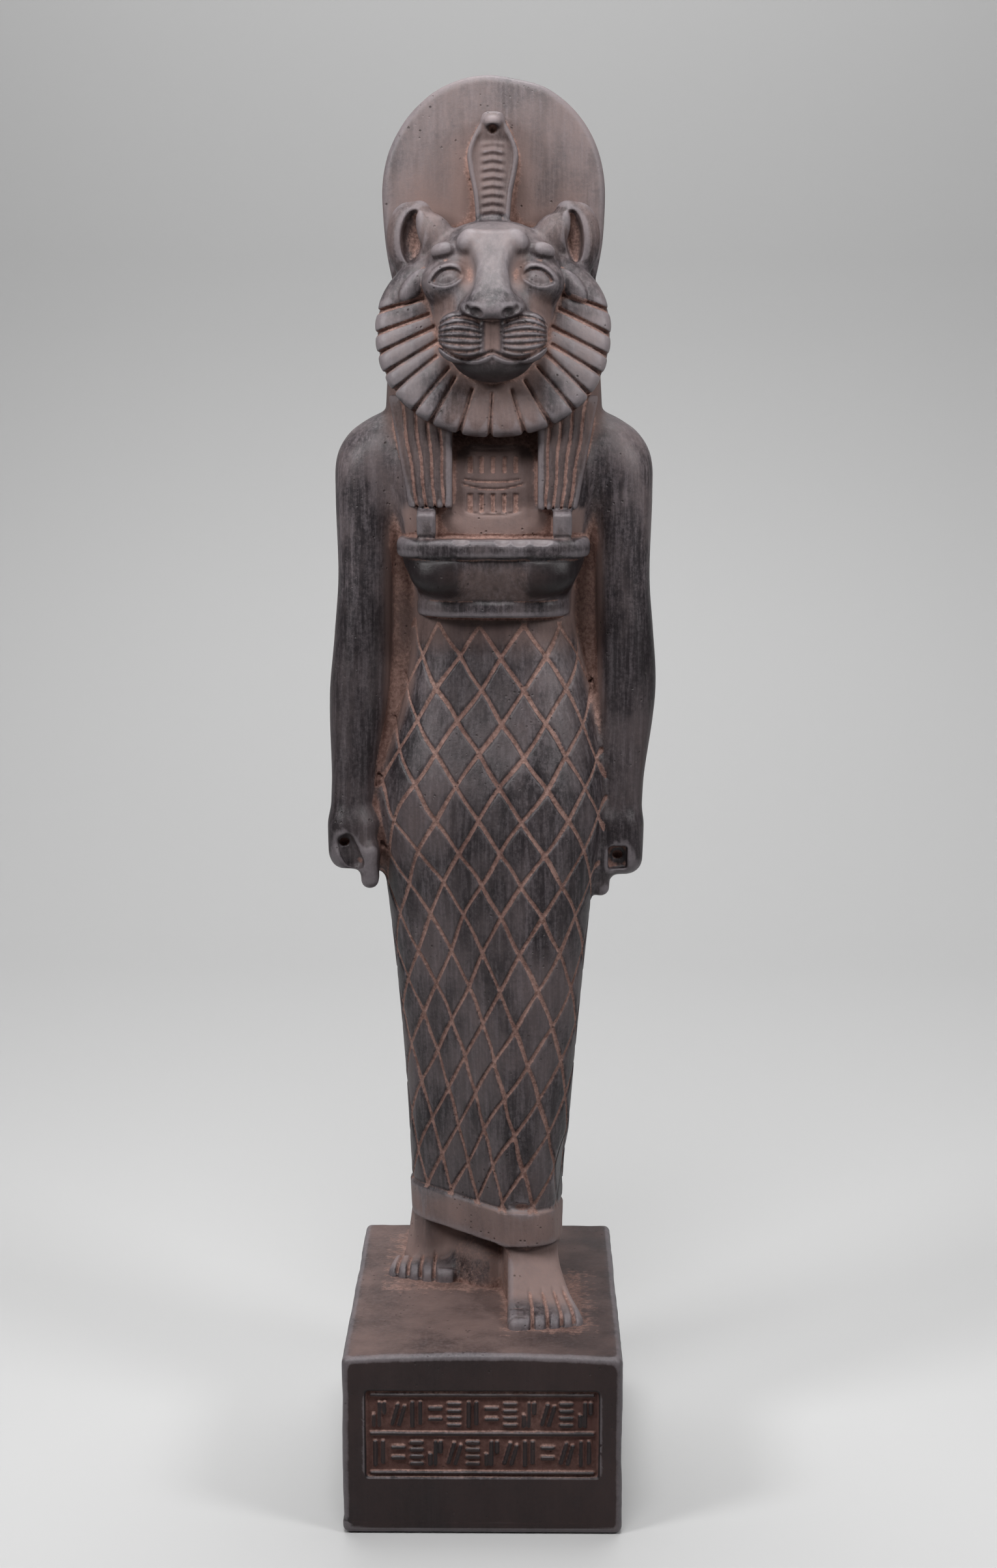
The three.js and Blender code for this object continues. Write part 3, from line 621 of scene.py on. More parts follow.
def collar(x, y, z):
    """Cuts of the bead collar: two rows of bars between sagging lines."""
    x = x - MID
    sag = 0.012 * x * x
    deep = 0
    for at, sags, half, depth, width in COLLAR_LINES:
        deep = np.maximum(deep, depth * ridge(z - at - sags * sag, width) * (np.abs(x) < half))
    bars = np.abs(x / 2.75 - np.round(x / 2.75)) * 2.75
    row = (np.abs(z - 212.2) < 2.2) | (np.abs(z - 203) < 2.4)
    deep = np.maximum(deep, 0.65 * smooth(0.75, 0.45, bars) * row * (np.abs(x) < 7))
    return deep * (y < 0)


# The head.


# Where the locks of the ruff part: outer and inner ends in front view.
PARTINGS = (
    ((-27.2, 248.4), (-14.6, 252.0)), ((-27.7, 243.0), (-11.8, 248.7)), ((-28.1, 237.6), (-11.2, 245.6)),
    ((-26.9, 232.3), (-11.2, 241.9)), ((-24.2, 228.0), (-11.5, 238.2)), ((-19.2, 222.4), (-8.4, 235.5)),
    ((-13.9, 220.6), (-6.8, 233.2)), ((-6.0, 219.8), (-2.6, 230.4)), ((1.5, 218.7), (2.0, 229.3)),
    ((10.1, 219.5), (6.6, 230.1)), ((17.3, 220.2), (9.8, 232.4)), ((24.5, 222.4), (12.9, 235.8)),
    ((27.6, 227.1), (14.5, 239.4)), ((31.5, 232.0), (16.5, 241.0)), ((33.1, 236.7), (16.5, 245.2)),
    ((33.4, 241.9), (18.1, 249.5)), ((33.0, 248.1), (19.2, 253.1)),
)


def ruff(x, y, z):
    """The mane, a thick rim that slopes back outwards."""
    u, v = x - MID, z - 244.5
    rim = oval(u, v, 28.6, np.where(v > 0, 22.0, 25.6).astype(F), 2.15)
    front = -10.2 + 0.2 * v - 0.25 * np.minimum(rim + 9, 0)
    return smax(rim, smax(front - y, y - 12, 3), 4.2)


def partings(x, y, z):
    """The cuts between the locks of the ruff."""
    deep = 0
    for a, b in PARTINGS:
        off = line_in_xz(x, z, a, b)
        deep = np.maximum(deep, 0.95 * ridge(off, 0.42) + 0.22 * ridge(off, 1.3))
    return deep * smooth(5, 2, y)


def disc(x, y, z):
    """The sun disc, a little dished and worn flatter at its top right."""
    u, v = x - MID, z - 277.6
    rim = oval(u, v, 27.3, np.where(v > 0, 28.3, 50.0).astype(F), 2.04)
    rim = smax(rim + 0.12 * rough(x, y, z, 23, 1.3), 0.2 * u + 0.98 * v - 27.9, 0.6)
    d = smax(rim, smax(3.6 + 0.0018 * (u * u + v * v) - y, y - 12.4, 1), 2.2)
    return smax(d, 246 - z, 1)


# height, half width of the hood
COBRA = [
    [270.8, 4.1], [276.7, 4.6], [282.8, 5.8], [286.6, 6.1], [290.1, 4.9], [294.2, 2.8], [296, 2.2],
]


def cobra(x, y, z):
    """The rearing snake's hood, hollow inside its rim, with a barred belly."""
    (half,) = track(COBRA, z)
    u = np.abs(x - 2.1)
    d = smax(smax(u - half, -5.0 - y, 1.1), smax(268 - z, z - 296, 0.9), 0.8)
    hollow = smooth(half - 0.6, half - 1.9, u) * smooth(292.5, 289, z)
    belly = smooth(3.4, 1.9, u) * (0.62 + 0.3 * np.cos((z - 273) * 2 * math.pi / 2.0 + 0.5 * u)) * smooth(290, 287, z)
    return d + smooth(0, -3, y) * (0.95 * hollow - 0.75 * belly * hollow)


def eye(side):
    """Cuts the flat eye under its lid."""
    cx, cz = MID + side * 11.0, 256.6

    def depth(x, y, z):
        u = (x - cx) * side
        v = z - cz + 0.16 * u
        top = np.hypot(u + 0.2, v + 1.7) - 3.95
        low = np.hypot(u, v - 3.3) - 5.1
        almond = np.maximum(top, low)
        under_lid = smooth(0.2, -0.25, almond) * (0.6 + 0.5 * smooth(-2.0, 0, top))
        crease = 0.3 * ridge(top - 1.7, 0.35) * smooth(-0.6, 0.8, v)
        lid = 0.3 * ridge(top - 0.75, 0.5) * smooth(-0.8, 0.6, v)
        lower = 0.2 * ridge(low - 0.5, 0.4) * smooth(-0.2, -1.4, v)
        return (np.where(almond < 0.1, under_lid, crease) - (lid + lower) * (almond > 0)) * (y < -4)

    return depth


def whiskers(side):
    """Curved cuts across a whisker pad."""

    def depth(x, y, z):
        u = (x - MID) * side
        v = (z - 242.4) / (1 - 0.013 * np.minimum((u - 7.2) ** 2, 30)) - 0.06 * (u - 7)
        lines = np.abs(v / 1.62 - np.round(v / 1.62)) * 1.62
        inside = between(u, 2.3, 3.0, 12.4, 13.2) * smooth(-4.6, -4.0, v) * smooth(5.6, 4.9, v)
        return 0.7 * ridge(lines, 0.4) * inside * (y < -8)

    return depth


def mouth(x, y, z):
    """The cut between the lips, with a raised lower lip."""
    u = np.abs(x - MID)
    curve = 239.2 - 0.52 * u + 0.036 * u * u + 0.0012 * u**3
    line = 0.85 * ridge(z - curve, 0.42) - 0.3 * ridge(z - curve + 1.1, 0.5)
    return line * smooth(13.4, 12.2, u) * (y < -6)


def bridge(x, y, z):
    """The bridge of the nose, which widens into the forehead."""
    u, v, w = turned((MID, -15.4, 257.2), (-0.6, 0, 0))(x, y, z)
    half = 4.4 + 0.028 * np.maximum(w + 1, 0) ** 2 + 0.05 * np.minimum(w + 4, 0) ** 2
    soft = 2.8
    return block([np.abs(u) - half + soft, np.abs(v) - 5.4 + soft, np.abs(w) - 10.6 + soft]) - soft


def nose(x, y, z):
    """The nose pad, arched above and flat below."""
    d = ellipsoid((MID, -19.2, 248.6), (8.0, 8.2, 5.2))(x, y, z)
    return smax(d, 246.7 + 0.02 * (x - MID) ** 2 - z, 2)


def philtrum(x, y, z):
    """The cut from the nose down to the mouth."""
    return 0.4 * ridge(x - MID, 0.3) * smooth(246.5, 245.5, z)


def face(step):
    """The lioness's face, on a grid of its own so that it meets the ruff as one form."""
    h = Field((-20, -32, 228), (25, 16, 284), step)
    x = MID
    h.ball((x, -1.5, 255.5), (18.4, 15.5, 15.5))
    h.ball((x, -6, 249), (14.2, 12.6, 15.4), k=3)
    h.ball((x, -10.5, 244.5), (11.4, 10, 12), k=3)
    h.ball((x, -13.6, 238.8), (10.0, 9.0, 6.7), (0.1, 0, 0), 1.4)
    h.add(bridge, (-12, -32, 240), (16, 2, 278), 2.4)
    for s in (-1, 1):
        h.ball((x + s * 10.6, -10.6, 255.8), (6.6, 5.6, 5.6), (0, s * 0.1, s * 0.35), 1.4)
        h.ball((x + s * 5.6, -13.2, 264.8), (3.2, 3.2, 2.9), (0, s * 0.4, 0), 1.4)
        h.ball((x + s * 11.5, -11.0, 263.0), (3.5, 3.2, 2.2), (0, s * 0.15, s * 0.4), 0.9)
        pad = slab((x + s * 7.2, -17.0, 242.7), (5.7, 6.6, 5.8), 3.9, (0.06, 0, s * -0.1))
        h.add(pad, (x + s * 7 - 9, -28, 233), (x + s * 7 + 9, -4, 252), 0.9)
    h.add(nose, (-8, -31, 242), (13, -8, 259), 0.9)
    h.add(slab((x, -17.2, 242.4), (3.4, 5.3, 4.6), 1.4, (0.06, 0, 0)), (-3, -26, 234), (8, -8, 250), 1)
    for s in (-1, 1):
        h.change(eye(s), (x + s * 11 - 8, -20, 249), (x + s * 11 + 8, -3, 263), np.add)
        h.sink(whiskers(s), (x + s * 7.5 - 8, -28, 234), (x + s * 7.5 + 8, -7, 250))
        h.ball((x + s * 4.2, -26.6, 248.0), (2.1, 2.8, 1.5), (0, s * -0.3, 0), 0.5, True)
        h.ball((x + s * 6.0, -25.6, 249.2), (0.9, 2.2, 1.5), (0, s * 0.5, 0), 0.5, True)
        h.ball((x + s * 6.0, -17.6, 258.4), (1.5, 3.0, 3.4), (0, s * 0.15, 0), 2.2, True)
    h.sink(philtrum, (0, -30, 237), (5, -18, 248))
    h.sink(mouth, (-13, -30, 230), (18, -5, 246))
    return h


def ear(f, side):
    """A cup with a tall hollow on its outer side and a flap on its inner side."""
    x = MID
    f.ball((x + side * 20.0, -0.5, 265.6), (5.9, 4.6, 9.6), (0, side * 0.1, 0), 1.2)
    f.ball((x + side * 18.4, -0.8, 270.6), (3.6, 3.6, 5.0), (0, side * -0.25, 0), 1.2)
    f.ball((x + side * 14.4, -2.4, 266.6), (5.0, 4.4, 6.4), (0, side * 0.55, 0), 1.4)
    f.ball((x + side * 19.6, -5.6, 267.0), (3.0 if side < 0 else 2.4, 4.8, 6.8), (0, side * -0.1, 0), 0.4, True)
    f.ball((x + side * 16.2, -3.9, 267.4), (2.0, 2.2, 5.6), (0, side * 0.28, 0), 0.5)


def head():
    """Disc, cobra, ruff, face and ears."""
    f = Field((-31, -32, 216), (36, 26, 308), CELL_HEAD)
    f.add(disc, (-30, 0, 243), (34, 16, 308))
    f.add(cobra, (-8, -9, 267), (12, 8, 300), 0.4)
    f.ball((2.1, -2.6, 294.2), (2.9, 4.4, 2.1), (0.2, 0, 0), 0.7)
    f.ball((2.1, -5.6, 291.9), (1.3, 2.4, 1.2), k=0.4, cut=True)
    f.add(ruff, (-31, -20, 216), (36, 15, 272))
    f.sink(partings, (-31, -20, 216), (36, 8, 272))
    h = face(f.step)
    cut, x, y, z = f.window(h.low, [a[-1] for a in h.axes])
    grid = np.stack(np.meshgrid(x.ravel(), y.ravel(), z.ravel(), indexing="ij"), -1).reshape(-1, 3)
    own = h.at(h.d, grid).reshape(f.d[cut].shape).astype(F)
    lines = h.at(h.lines, grid).reshape(f.d[cut].shape).astype(F)
    f.lines[cut] = np.where(own < f.d[cut], lines, f.lines[cut])
    f.d[cut] = smin(f.d[cut], own, 0.6)
    for s in (-1, 1):
        ear(f, s)
        f.ball((MID + s * 18.9, -8.3, 255.0), (2.5, 2.2, 5.2), (0, s * -0.75, 0), 0.35)
    return f


# Plain strokes: each mark is a few that lie side by side, and none of them meet.
MARKS = (
    [((-1.0, -2.9), (-1.0, 2.9)), ((0.9, -2.3), (0.9, 2.9))],
    [((-1.3, v), (1.3, v)) for v in (-2.7, -0.9, 0.9, 2.7)],
    [((-1.4, -2.4), (0.0, 2.4)), ((0.3, -2.6), (1.6, 1.9))],
    [((-1.3, 1.5), (1.3, 1.5)), ((-1.3, -1.2), (1.3, -1.2))],
    [((-1.3, -2.8), (-1.3, -0.4)), ((0.0, -2.8), (0.0, 2.8)), ((1.3, 0.4), (1.3, 2.8))],
)


def plinth_body(x, y, z):
    """A block whose top bows up to its front edge and whose faces are a little uneven."""
    bow = -1.2 * (1 - (x / 34) ** 2) * smooth(-5, -49, y)
    wave = 0.22 * rough(x, y, z, 37, 4.1) + 0.1 * rough(x, y, z, 11, 2.2)
    top = PLINTH_H - bow - 0.1
    past = [np.abs(x) - 33.2 + 0 * z, np.abs(y) - 48.2 + 0 * z, np.abs(z - top / 2) - top / 2 + 0.8]
    d = block([v + 0.9 for v in past]) - 1.7
    return smax(d + np.where(z > 3, np.abs(wave), 0), 0.05 - z, 0)


def panel(x, y, z):
    """The panel's ground, less the rules and the rows of strokes that stand on it."""
    u = np.abs(x)
    middle, height = (PANEL_LOW + PANEL_HIGH) / 2, (PANEL_HIGH - PANEL_LOW) / 2
    row_height = height - 1.1
    inside = smax(u - PANEL_HALF, np.abs(z - middle) - height, 0.8)
    deep = PANEL_DEPTH * smooth(0.25, -0.35, inside)
    raised = 0
    for k in range(3):
        zk = PANEL_LOW + 1.1 + k * row_height
        rule = smooth(0.6, 0.3, np.abs(z - zk)) * smooth(PANEL_HALF - 0.7, PANEL_HALF - 1.2, u)
        raised = np.maximum(raised, rule)
    pitch = (2 * PANEL_HALF - 2) / STROKES
    for row in range(2):
        cz = PANEL_LOW + 6.05 + row * row_height
        for c in range(STROKES):
            cx = -PANEL_HALF + 1 + (c + 0.5) * pitch
            near = (np.abs(x - cx) < pitch) & (np.abs(z - cz) < 5)
            for (x1, z1), (x2, z2) in MARKS[(c * 3 + row * 4 + c // 5) % len(MARKS)]:
                off = line_in_xz(x, z, (cx + x1, cz + z1), (cx + x2, cz + z2))
                raised = np.maximum(raised, smooth(0.72, 0.35, off) * near)
    return (deep - 0.85 * raised * (deep > 0.5)) * (y < -45)


def plinth():
    f = Field((-36, -51, -1.5), (36, 51, 47), CELL_PLINTH)
    f.add(plinth_body, (-36, -51, -1.5), (36, 51, 47))
    f.sink(panel, (-30, -51, 12), (30, -45.5, 39))
    return f


# From a field to a mesh.


def surface(f):
    """Surface nets: one corner in each cell that the surface crosses, one face for each crossed edge."""
    inside = f.d < 0
    n = np.array(inside.shape)
    total = np.zeros(n - 1, np.int8)
    for dx, dy, dz in CORNERS:
        total += inside[dx : n[0] - 1 + dx, dy : n[1] - 1 + dy, dz : n[2] - 1 + dz]
    cells = np.argwhere((total > 0) & (total < 8))
    ids = np.full(n - 1, -1, np.int32)
    ids[tuple(cells.T)] = np.arange(len(cells))
    value = np.stack([f.d[tuple((cells + c).T)] for c in CORNERS], 1).astype(float)
    place = np.zeros((len(cells), 3))
    count = np.zeros(len(cells))
    for i in range(8):
        for j in range(i + 1, 8):
            along = CORNERS[j] - CORNERS[i]
            if np.abs(along).sum() != 1:
                continue
            a, b = value[:, i], value[:, j]
            crossed = (a < 0) != (b < 0)
            t = np.where(crossed, a / np.where(crossed, a - b, 1), 0)
            place += np.where(crossed[:, None], CORNERS[i] + t[:, None] * along, 0)
            count += crossed
    points = (cells + place / count[:, None]) * f.step + f.low
    faces = []
    for k in range(3):
        a = np.take(inside, range(n[k] - 1), k)
        b = np.take(inside, range(1, n[k]), k)
        e1, e2 = [np.eye(3, dtype=int)[m] for m in ((k + 1) % 3, (k + 2) % 3)]
        for low_in in (True, False):
            at = np.argwhere((a == low_in) & (b != low_in))
            at = at[(at[:, (k + 1) % 3] > 0) & (at[:, (k + 2) % 3] > 0)]
            at = at[(at < n - 1).all(1)]
            ring = [at - e1 - e2, at - e2, at, at - e1]
            if not low_in:
                ring.reverse()
            faces.append(np.stack([ids[tuple(r.T)] for r in ring], 1))
    return points, np.concatenate(faces)


def blurred(values, radius):
    """A grid averaged twice over a cube of the radius, in nodes."""
    out = values.astype(F)
    for k in range(3):
        for _ in range(2):
            out = np.moveaxis(out, k, 0)
            padded = np.concatenate([np.repeat(out[:1], radius + 1, 0), out, np.repeat(out[-1:], radius, 0)])
            run = np.cumsum(padded, 0, dtype=np.float64)
            out = ((run[2 * radius + 1 :] - run[: -2 * radius - 1]) / (2 * radius + 1)).astype(F)
            out = np.moveaxis(out, 0, k)
    return out


def mesh_object(name, f, triangles, lift):
    """The object, its corners in the field's millimetres, and the field's own normals there."""
    points, faces = surface(f)
    raw = bpy.data.meshes.new(name)
    raw.vertices.add(len(points))
    raw.vertices.foreach_set("co", points.astype(F).ravel())
    raw.loops.add(faces.size)
    raw.loops.foreach_set("vertex_index", faces.astype(np.int32).ravel())
    raw.polygons.add(len(faces))
    raw.polygons.foreach_set("loop_start", np.arange(0, faces.size, 4, dtype=np.int32))
    raw.polygons.foreach_set("loop_total", np.full(len(faces), 4, np.int32))
    raw.update(calc_edges=True)
    raw.validate()
    piece = bpy.data.objects.new(name, raw)
    bpy.context.scene.collection.objects.link(piece)
    thin = piece.modifiers.new("thin", "DECIMATE")
    thin.ratio = min(1.0, triangles / (2.0 * len(faces)))
    thin.use_collapse_triangulate = True
    deps = bpy.context.evaluated_depsgraph_get()
    mesh = bpy.data.meshes.new_from_object(piece.evaluated_get(deps))
    piece.modifiers.clear()
    piece.data = mesh
    bpy.data.meshes.remove(raw)
    at = np.empty(len(mesh.vertices) * 3, F)
    mesh.vertices.foreach_get("co", at)
    at = at.reshape(-1, 3).astype(float)
    e = 0.5 * f.step
    normal = np.stack([f.at(f.d, at + e * d) - f.at(f.d, at - e * d) for d in np.eye(3)], 1)
    normal /= np.maximum(np.linalg.norm(normal, axis=1), 1e-6)[:, None]
    mesh.vertices.foreach_set("co", ((at + (0, 0, lift)) * 0.001).astype(F).ravel())
    mesh.polygons.foreach_set("use_smooth", np.ones(len(mesh.polygons), bool))
    mesh.normals_split_custom_set_from_vertices([tuple(v) for v in normal])
    mesh.update()
    return piece, at, normal


def attribute(mesh, name, values):
    layer = mesh.attributes.new(name, "FLOAT", "POINT")
    layer.data.foreach_set("value", np.asarray(values, F))


# How the casting looks, by place. Each function takes the coordinates, the distance u from the middle, and the
# normals. A film is the brown veil left where the casting wasn't rubbed, from 0 to 1. A tone is darker below 0
# and paler above 0, with rubbed and chipped places paler; parts of it are painted shade and painted light, marked
# where they are set. Dust gathers in hollows, and edges turn paler from wear and from painted highlight.


def panel_rows(z):
    return between(z, PANEL_LOW - 0.5, PANEL_LOW + 0.3, PANEL_HIGH - 0.2, PANEL_HIGH + 0.6)


def panel_ground(y):
    """1 on the sunk ground of the panel, 0 on the strokes."""
    return smooth(-48.5, -48.1, y)


def on_strip(y, z, u):
    """The bare chest between the lappets and the band."""
    return between(z, 193.8, 195, 201, 202.5) * smooth(24, 21, u) * (y < 0)


def on_straps(x, y, z):
    off = np.minimum(*[np.abs(x - at) for at in STRAPS])
    return smooth(3.0, 2.4, off) * between(z, 194.3, 195, 202, 203) * (y < -9)


def on_toes(x, y, z):
    return smooth(7.5, 5.5, z) * np.where(x > 1, smooth(-20, -25, y), smooth(12, 7, y))


def on_chips(x, y, z):
    chipped = np.zeros_like(x)
    for (cx, cy, cz), (rx, ry, rz) in NICKS:
        away = np.sqrt(((x - cx) / rx) ** 2 + ((y - cy) / ry) ** 2 + ((z - cz) / rz) ** 2)
        chipped = np.maximum(chipped, smooth(1.25, 1.05, away))
    return chipped


def plinth_film(x, y, z, u, normal):
    top = smooth(0.6, 0.9, normal[:, 2]) * smooth(34.5, 31, np.abs(x)) * smooth(49.5, 46, np.abs(y))
    front = smooth(-0.8, -0.95, normal[:, 1])
    low_end = front * 0.5 * between(z, 0.5, 3, 11, 13.5)
    sunk = front * smooth(29, 28, np.abs(x)) * panel_rows(z) * (0.3 + 0.6 * panel_ground(y))
    return np.maximum.reduce([0.62 * top, 0.7 * low_end, sunk, 0.42 * front]) + 0.08


def head_film(x, y, z, u, normal):
    near_cobra = ridge(u - 5, 8) * smooth(303, 275, z)
    low = smooth(290, 270, z) * smooth(27, 18, u)
    disc_film = 0.34 + 0.5 * np.maximum(near_cobra, 0.75 * low)
    face_film = 0.2 + 0.25 * smooth(258, 268, z) * smooth(9, 14, u) + (u < 6.5) * (z > 272) * 0.3
    beside_nose = 0.85 * ridge(u - 6.6, 2.2) * ridge(z - 258.5, 5)
    cheek = 0.75 * between(u, 7, 10, 13.5, 15) * between(z, 236, 240, 251, 255) * (y > -17)
    between_pads = 0.8 * smooth(2.4, 1.4, u) * between(z, 238.5, 240, 246.5, 247.5)
    roots = 0.55 * smooth(240, 236, z) * smooth(17, 9, u) * (y > -15)
    hollows = np.maximum.reduce([beside_nose, cheek, between_pads, roots]) * (y < -8)
    return np.where((y > 1) * (z > 262), disc_film, np.maximum(face_film, hollows))


def figure_film(x, y, z, u, normal):
    chest = 0.7 * smooth(196, 199, z) * smooth(11.5, 9.5, u) * (y < 0)
    waist = 0.62 * between(z, 163, 171, 174, 175) * smooth(21, 19, u) * (y < 12)
    belly = 0.4 * between(z, 178.6, 179.5, 185, 190) * smooth(17, 10, u)
    web = 0.75 * between(u, 17, 21, 27, 31) * between(z, 104, 108, 196, 216) * smooth(1, 6, y)
    hem = 0.55 * between(z, 14, 15, 24, 25.2)
    neck = 0.5 * smooth(214, 224, z) * smooth(29, 25, u)
    lappets = 0.42 * smooth(200, 203, z) * between(u, 8, 10, 22, 26) * (y < -4)
    feet = 0.6 * smooth(16, 13, z)
    film = np.maximum.reduce([chest, 0.62 * on_strip(y, z, u), waist, belly, web, hem, feet, neck, lappets])
    return film * (1 - 0.85 * np.maximum(on_toes(x, y, z), on_straps(x, y, z))) + 0.14


def plinth_tone(x, y, z, u, normal):
    ground = (np.abs(x) < PANEL_HALF) * panel_rows(z) * panel_ground(y) * (y < -46)
    side = smooth(0.75, 0.45, normal[:, 2])
    # painted shade: the last term paints the top darker towards positive x, the figure's left
    return 0.25 * ground - 1.55 * side - (0.1 + 0.65 * smooth(0, 30, x)) * (1 - side)


def head_tone(x, y, z, u, normal):
    crown = smooth(9, 6, u) * smooth(251, 256, z) * (y < -6)
    chin = smooth(238, 236, z) * smooth(13, 10, u) * smooth(-14, -16, y)
    # painted shade: faces that look down are painted darker
    under = smooth(-0.3, -0.85, normal[:, 2])
    cheeks = (1 - crown) * (1 - chin) * smooth(238, 242, z) * (y < -4)
    pads = smooth(-15.5, -17, y) * smooth(248, 247, z) * (u > 1.5)
    mane = (y < 2) * smooth(-17, -15, y) * smooth(250, 246, z)
    mane = mane * (1 - 0.95 * smooth(240, 232, z) * smooth(20, 11, u))
    pale = np.maximum.reduce([0.62 * crown, 0.72 * mane, 0.2 * cheeks * (1 - pads)])
    # faces that look down lose their paleness and get painted shade
    return np.where((y > 1) * (z > 262), 0.48, pale * (1 - under) - 0.5 * chin - 0.8 * under)


def figure_tone(x, y, z, u, normal):
    # painted shade: the bumps of the bust and their undersides are painted much darker
    breast_painted_shade = between(z, 179, 181, 188.5, 190) * smooth(7, 11, u) * (y < 0)
    band = between(z, 189, 190, 194.5, 195.5) * (y < -8)
    arms = smooth(25.5, 28, u) * between(z, 100, 104, 165, 190)
    # painted shade: the middle of the dress is painted darker, where the side lights reach it less
    middle = smooth(16, 6, np.abs(x)) * between(z, 60, 100, 172, 178)
    chest = smooth(202, 204, z) * smooth(24, 20, u) * (y < 0)
    # painted shade: the hem's underside is painted darker
    hem_painted_shade = smooth(16.4, 15.4, z) * smooth(-0.3, -0.7, normal[:, 2])
    lappets = smooth(202, 203, z) * between(u, 9, 11, 21, 24) * (y < -4)
    skirt = between(z, 25, 26, 140, 160) * smooth(30, 26, np.abs(x))
    dark = [1.9 * breast_painted_shade, 0.5 * band, 0.75 * arms, 0.75 * middle, 0.8 * hem_painted_shade, 0.5 * chest, 0.6 * lappets]
    dark = np.maximum.reduce([*dark, 0.5 * skirt])
    # painted light: the feet, where they don't face down, are painted paler, as if lit from above
    feet = between(z, 0.5, 2, 10, 13) * (normal[:, 2] > -0.2) * (1 - 0.9 * on_toes(x, y, z))
    strip = on_strip(y, z, u) * (1 - 0.6 * on_straps(x, y, z))
    pale = np.maximum.reduce([0.65 * feet, 0.6 * strip, 0.45 * between(z, 15, 16, 24.5, 26)])
    chipped = on_chips(x, y, z)
    return (pale - dark) * (1 - chipped) + 0.9 * chipped


def past_box(x, y, middle, half):
    """Distance in plan from a box."""
    dx, dy = np.maximum(np.abs(x - middle[0]) - half[0], 0), np.maximum(np.abs(y - middle[1]) - half[1], 0)
    return np.hypot(dx, dy)


def plinth_dust(crust, x, y, z, normal):
    """Little on the strokes, and a halo round the feet."""
    near = np.minimum(past_box(x, y, (15.5, -11), (9, 20)), past_box(x, y, (-10, 20), (13, 21)))
    near = near + 2.2 * (rough(x, y, z, 5.0, 71) + rough(x, y, z, 2.0, 72))
    halo = 0.66 * ridge(np.maximum(near, 0), 3.4) * (normal[:, 2] > 0.5)
    return np.maximum(np.where(y < -46, 0.9 * panel_ground(y) * crust, crust), halo)


def head_dust(crust, x, y, z, normal):
    return crust * (1 - 0.45 * (y < -10) * (z < 250))


def figure_dust(crust, x, y, z, normal):
    between_feet = smooth(9, 6.5, np.abs(x + 0.8)) * smooth(17, 13, z) * (y < 16)
    return np.maximum(crust, 0.5 * between_feet)


# Where edges turn paler, from wear and painted highlight: on the plinth, not on the edges of the panel and its
# strokes.
def plinth_wear_and_highlight(x, z):
    return 1 - (np.abs(x) < PANEL_HALF + 0.4) * smooth(39, 37, z)


def head_wear_and_highlight(x, z):
    return 1


# edges on the bust turn less pale, so that its painted shade stays dark
def figure_wear_and_highlight(x, z):
    return 1 - 0.8 * between(z, 179, 181, 188.5, 190)


# rubbed tells where edges turn paler, from wear and painted highlight
Piece = namedtuple("Piece", "form triangles lift film tone dust rubbed")
PIECES = {
    "figure": Piece(figure, 190000, PLINTH_H, figure_film, figure_tone, figure_dust, figure_wear_and_highlight),
    "head": Piece(head, 190000, PLINTH_H, head_film, head_tone, head_dust, head_wear_and_highlight),
    "plinth": Piece(plinth, 150000, 0.0, plinth_film, plinth_tone, plinth_dust, plinth_wear_and_highlight),
}


def whole_stone(fields):
    """One coarse block with 1 where stone is, to tell where dust stays and where hands rub."""
    whole = Field((-48, -56, -6), (50, 56, 358), CELL_WHOLE)
    stone = np.zeros(whole.d.shape, F)
    for name, f in fields.items():
        index, inside = [], []
        for k in range(3):
            at = whole.axes[k] - (PIECES[name].lift if k == 2 else 0)
            index.append(np.clip(np.round((at - f.low[k]) / f.step).astype(int), 0, f.d.shape[k] - 1))
            inside.append((at >= f.low[k]) & (at <= f.axes[k][-1]))
        got = np.clip(0.5 - f.d[np.ix_(*index)] / CELL_WHOLE, 0, 1)
        got = got * inside[0][:, None, None] * inside[1][None, :, None] * inside[2][None, None, :]
        stone = np.maximum(stone, got)
    return whole, stone


def build():
    """The three pieces, with what their material needs to know at each corner."""
    fields = {name: spec.form() for name, spec in PIECES.items()}
    whole, stone = whole_stone(fields)
    broad, middling = blurred(stone, 4), blurred(stone, 2)
    pieces = []
    for name, f in fields.items():
        spec = PIECES[name]
        piece, at, normal = mesh_object(name, f, spec.triangles, spec.lift)
        x, y, z = at.T
        u = np.abs(x - MID)
        # how much stone is near: more than half in a hollow, less on an edge
        fine = f.at(blurred(np.clip(0.5 - f.d / f.step, 0, 1), 3), at + normal * 0.15)
        world = at + (0, 0, spec.lift)
        mid = whole.at(middling, world + normal * 0.6)
        wide = whole.at(broad, world + normal * 1.2)
        crust = np.maximum(smooth(0.12, 0.45, f.at(f.lines, at)), 0.95 * smooth(0.535, 0.66, fine))
        crust = np.maximum(crust, 0.75 * smooth(0.5, 0.72, mid)) + 0.35 * smooth(0.5, 0.75, wide)
        column_at, row_at, netted = 0, 0 * x, 0 * x
        if name == "figure":
            column_at, row_at = net_place(x, y, z)
            netted = on_net(x, y, z)
        values = {
            "film": np.clip(spec.film(x, y, z, u, normal) + 0.25 * smooth(0.42, 0.7, wide), 0, 1),
            "crust": spec.dust(crust, x, y, z, normal),
            # paler edges: rubbed wear, and painted highlight on convex edges
            "edge": smooth(0.44, 0.33, fine) * spec.rubbed(x, z),
            "tone": spec.tone(x, y, z, u, normal),
            "first": column_at + row_at,
            "second": column_at - row_at,
            "netted": netted,
        }
        for key, value in values.items():
            attribute(piece.data, key, value)
        pieces.append(piece)
    return pieces


# Materials.


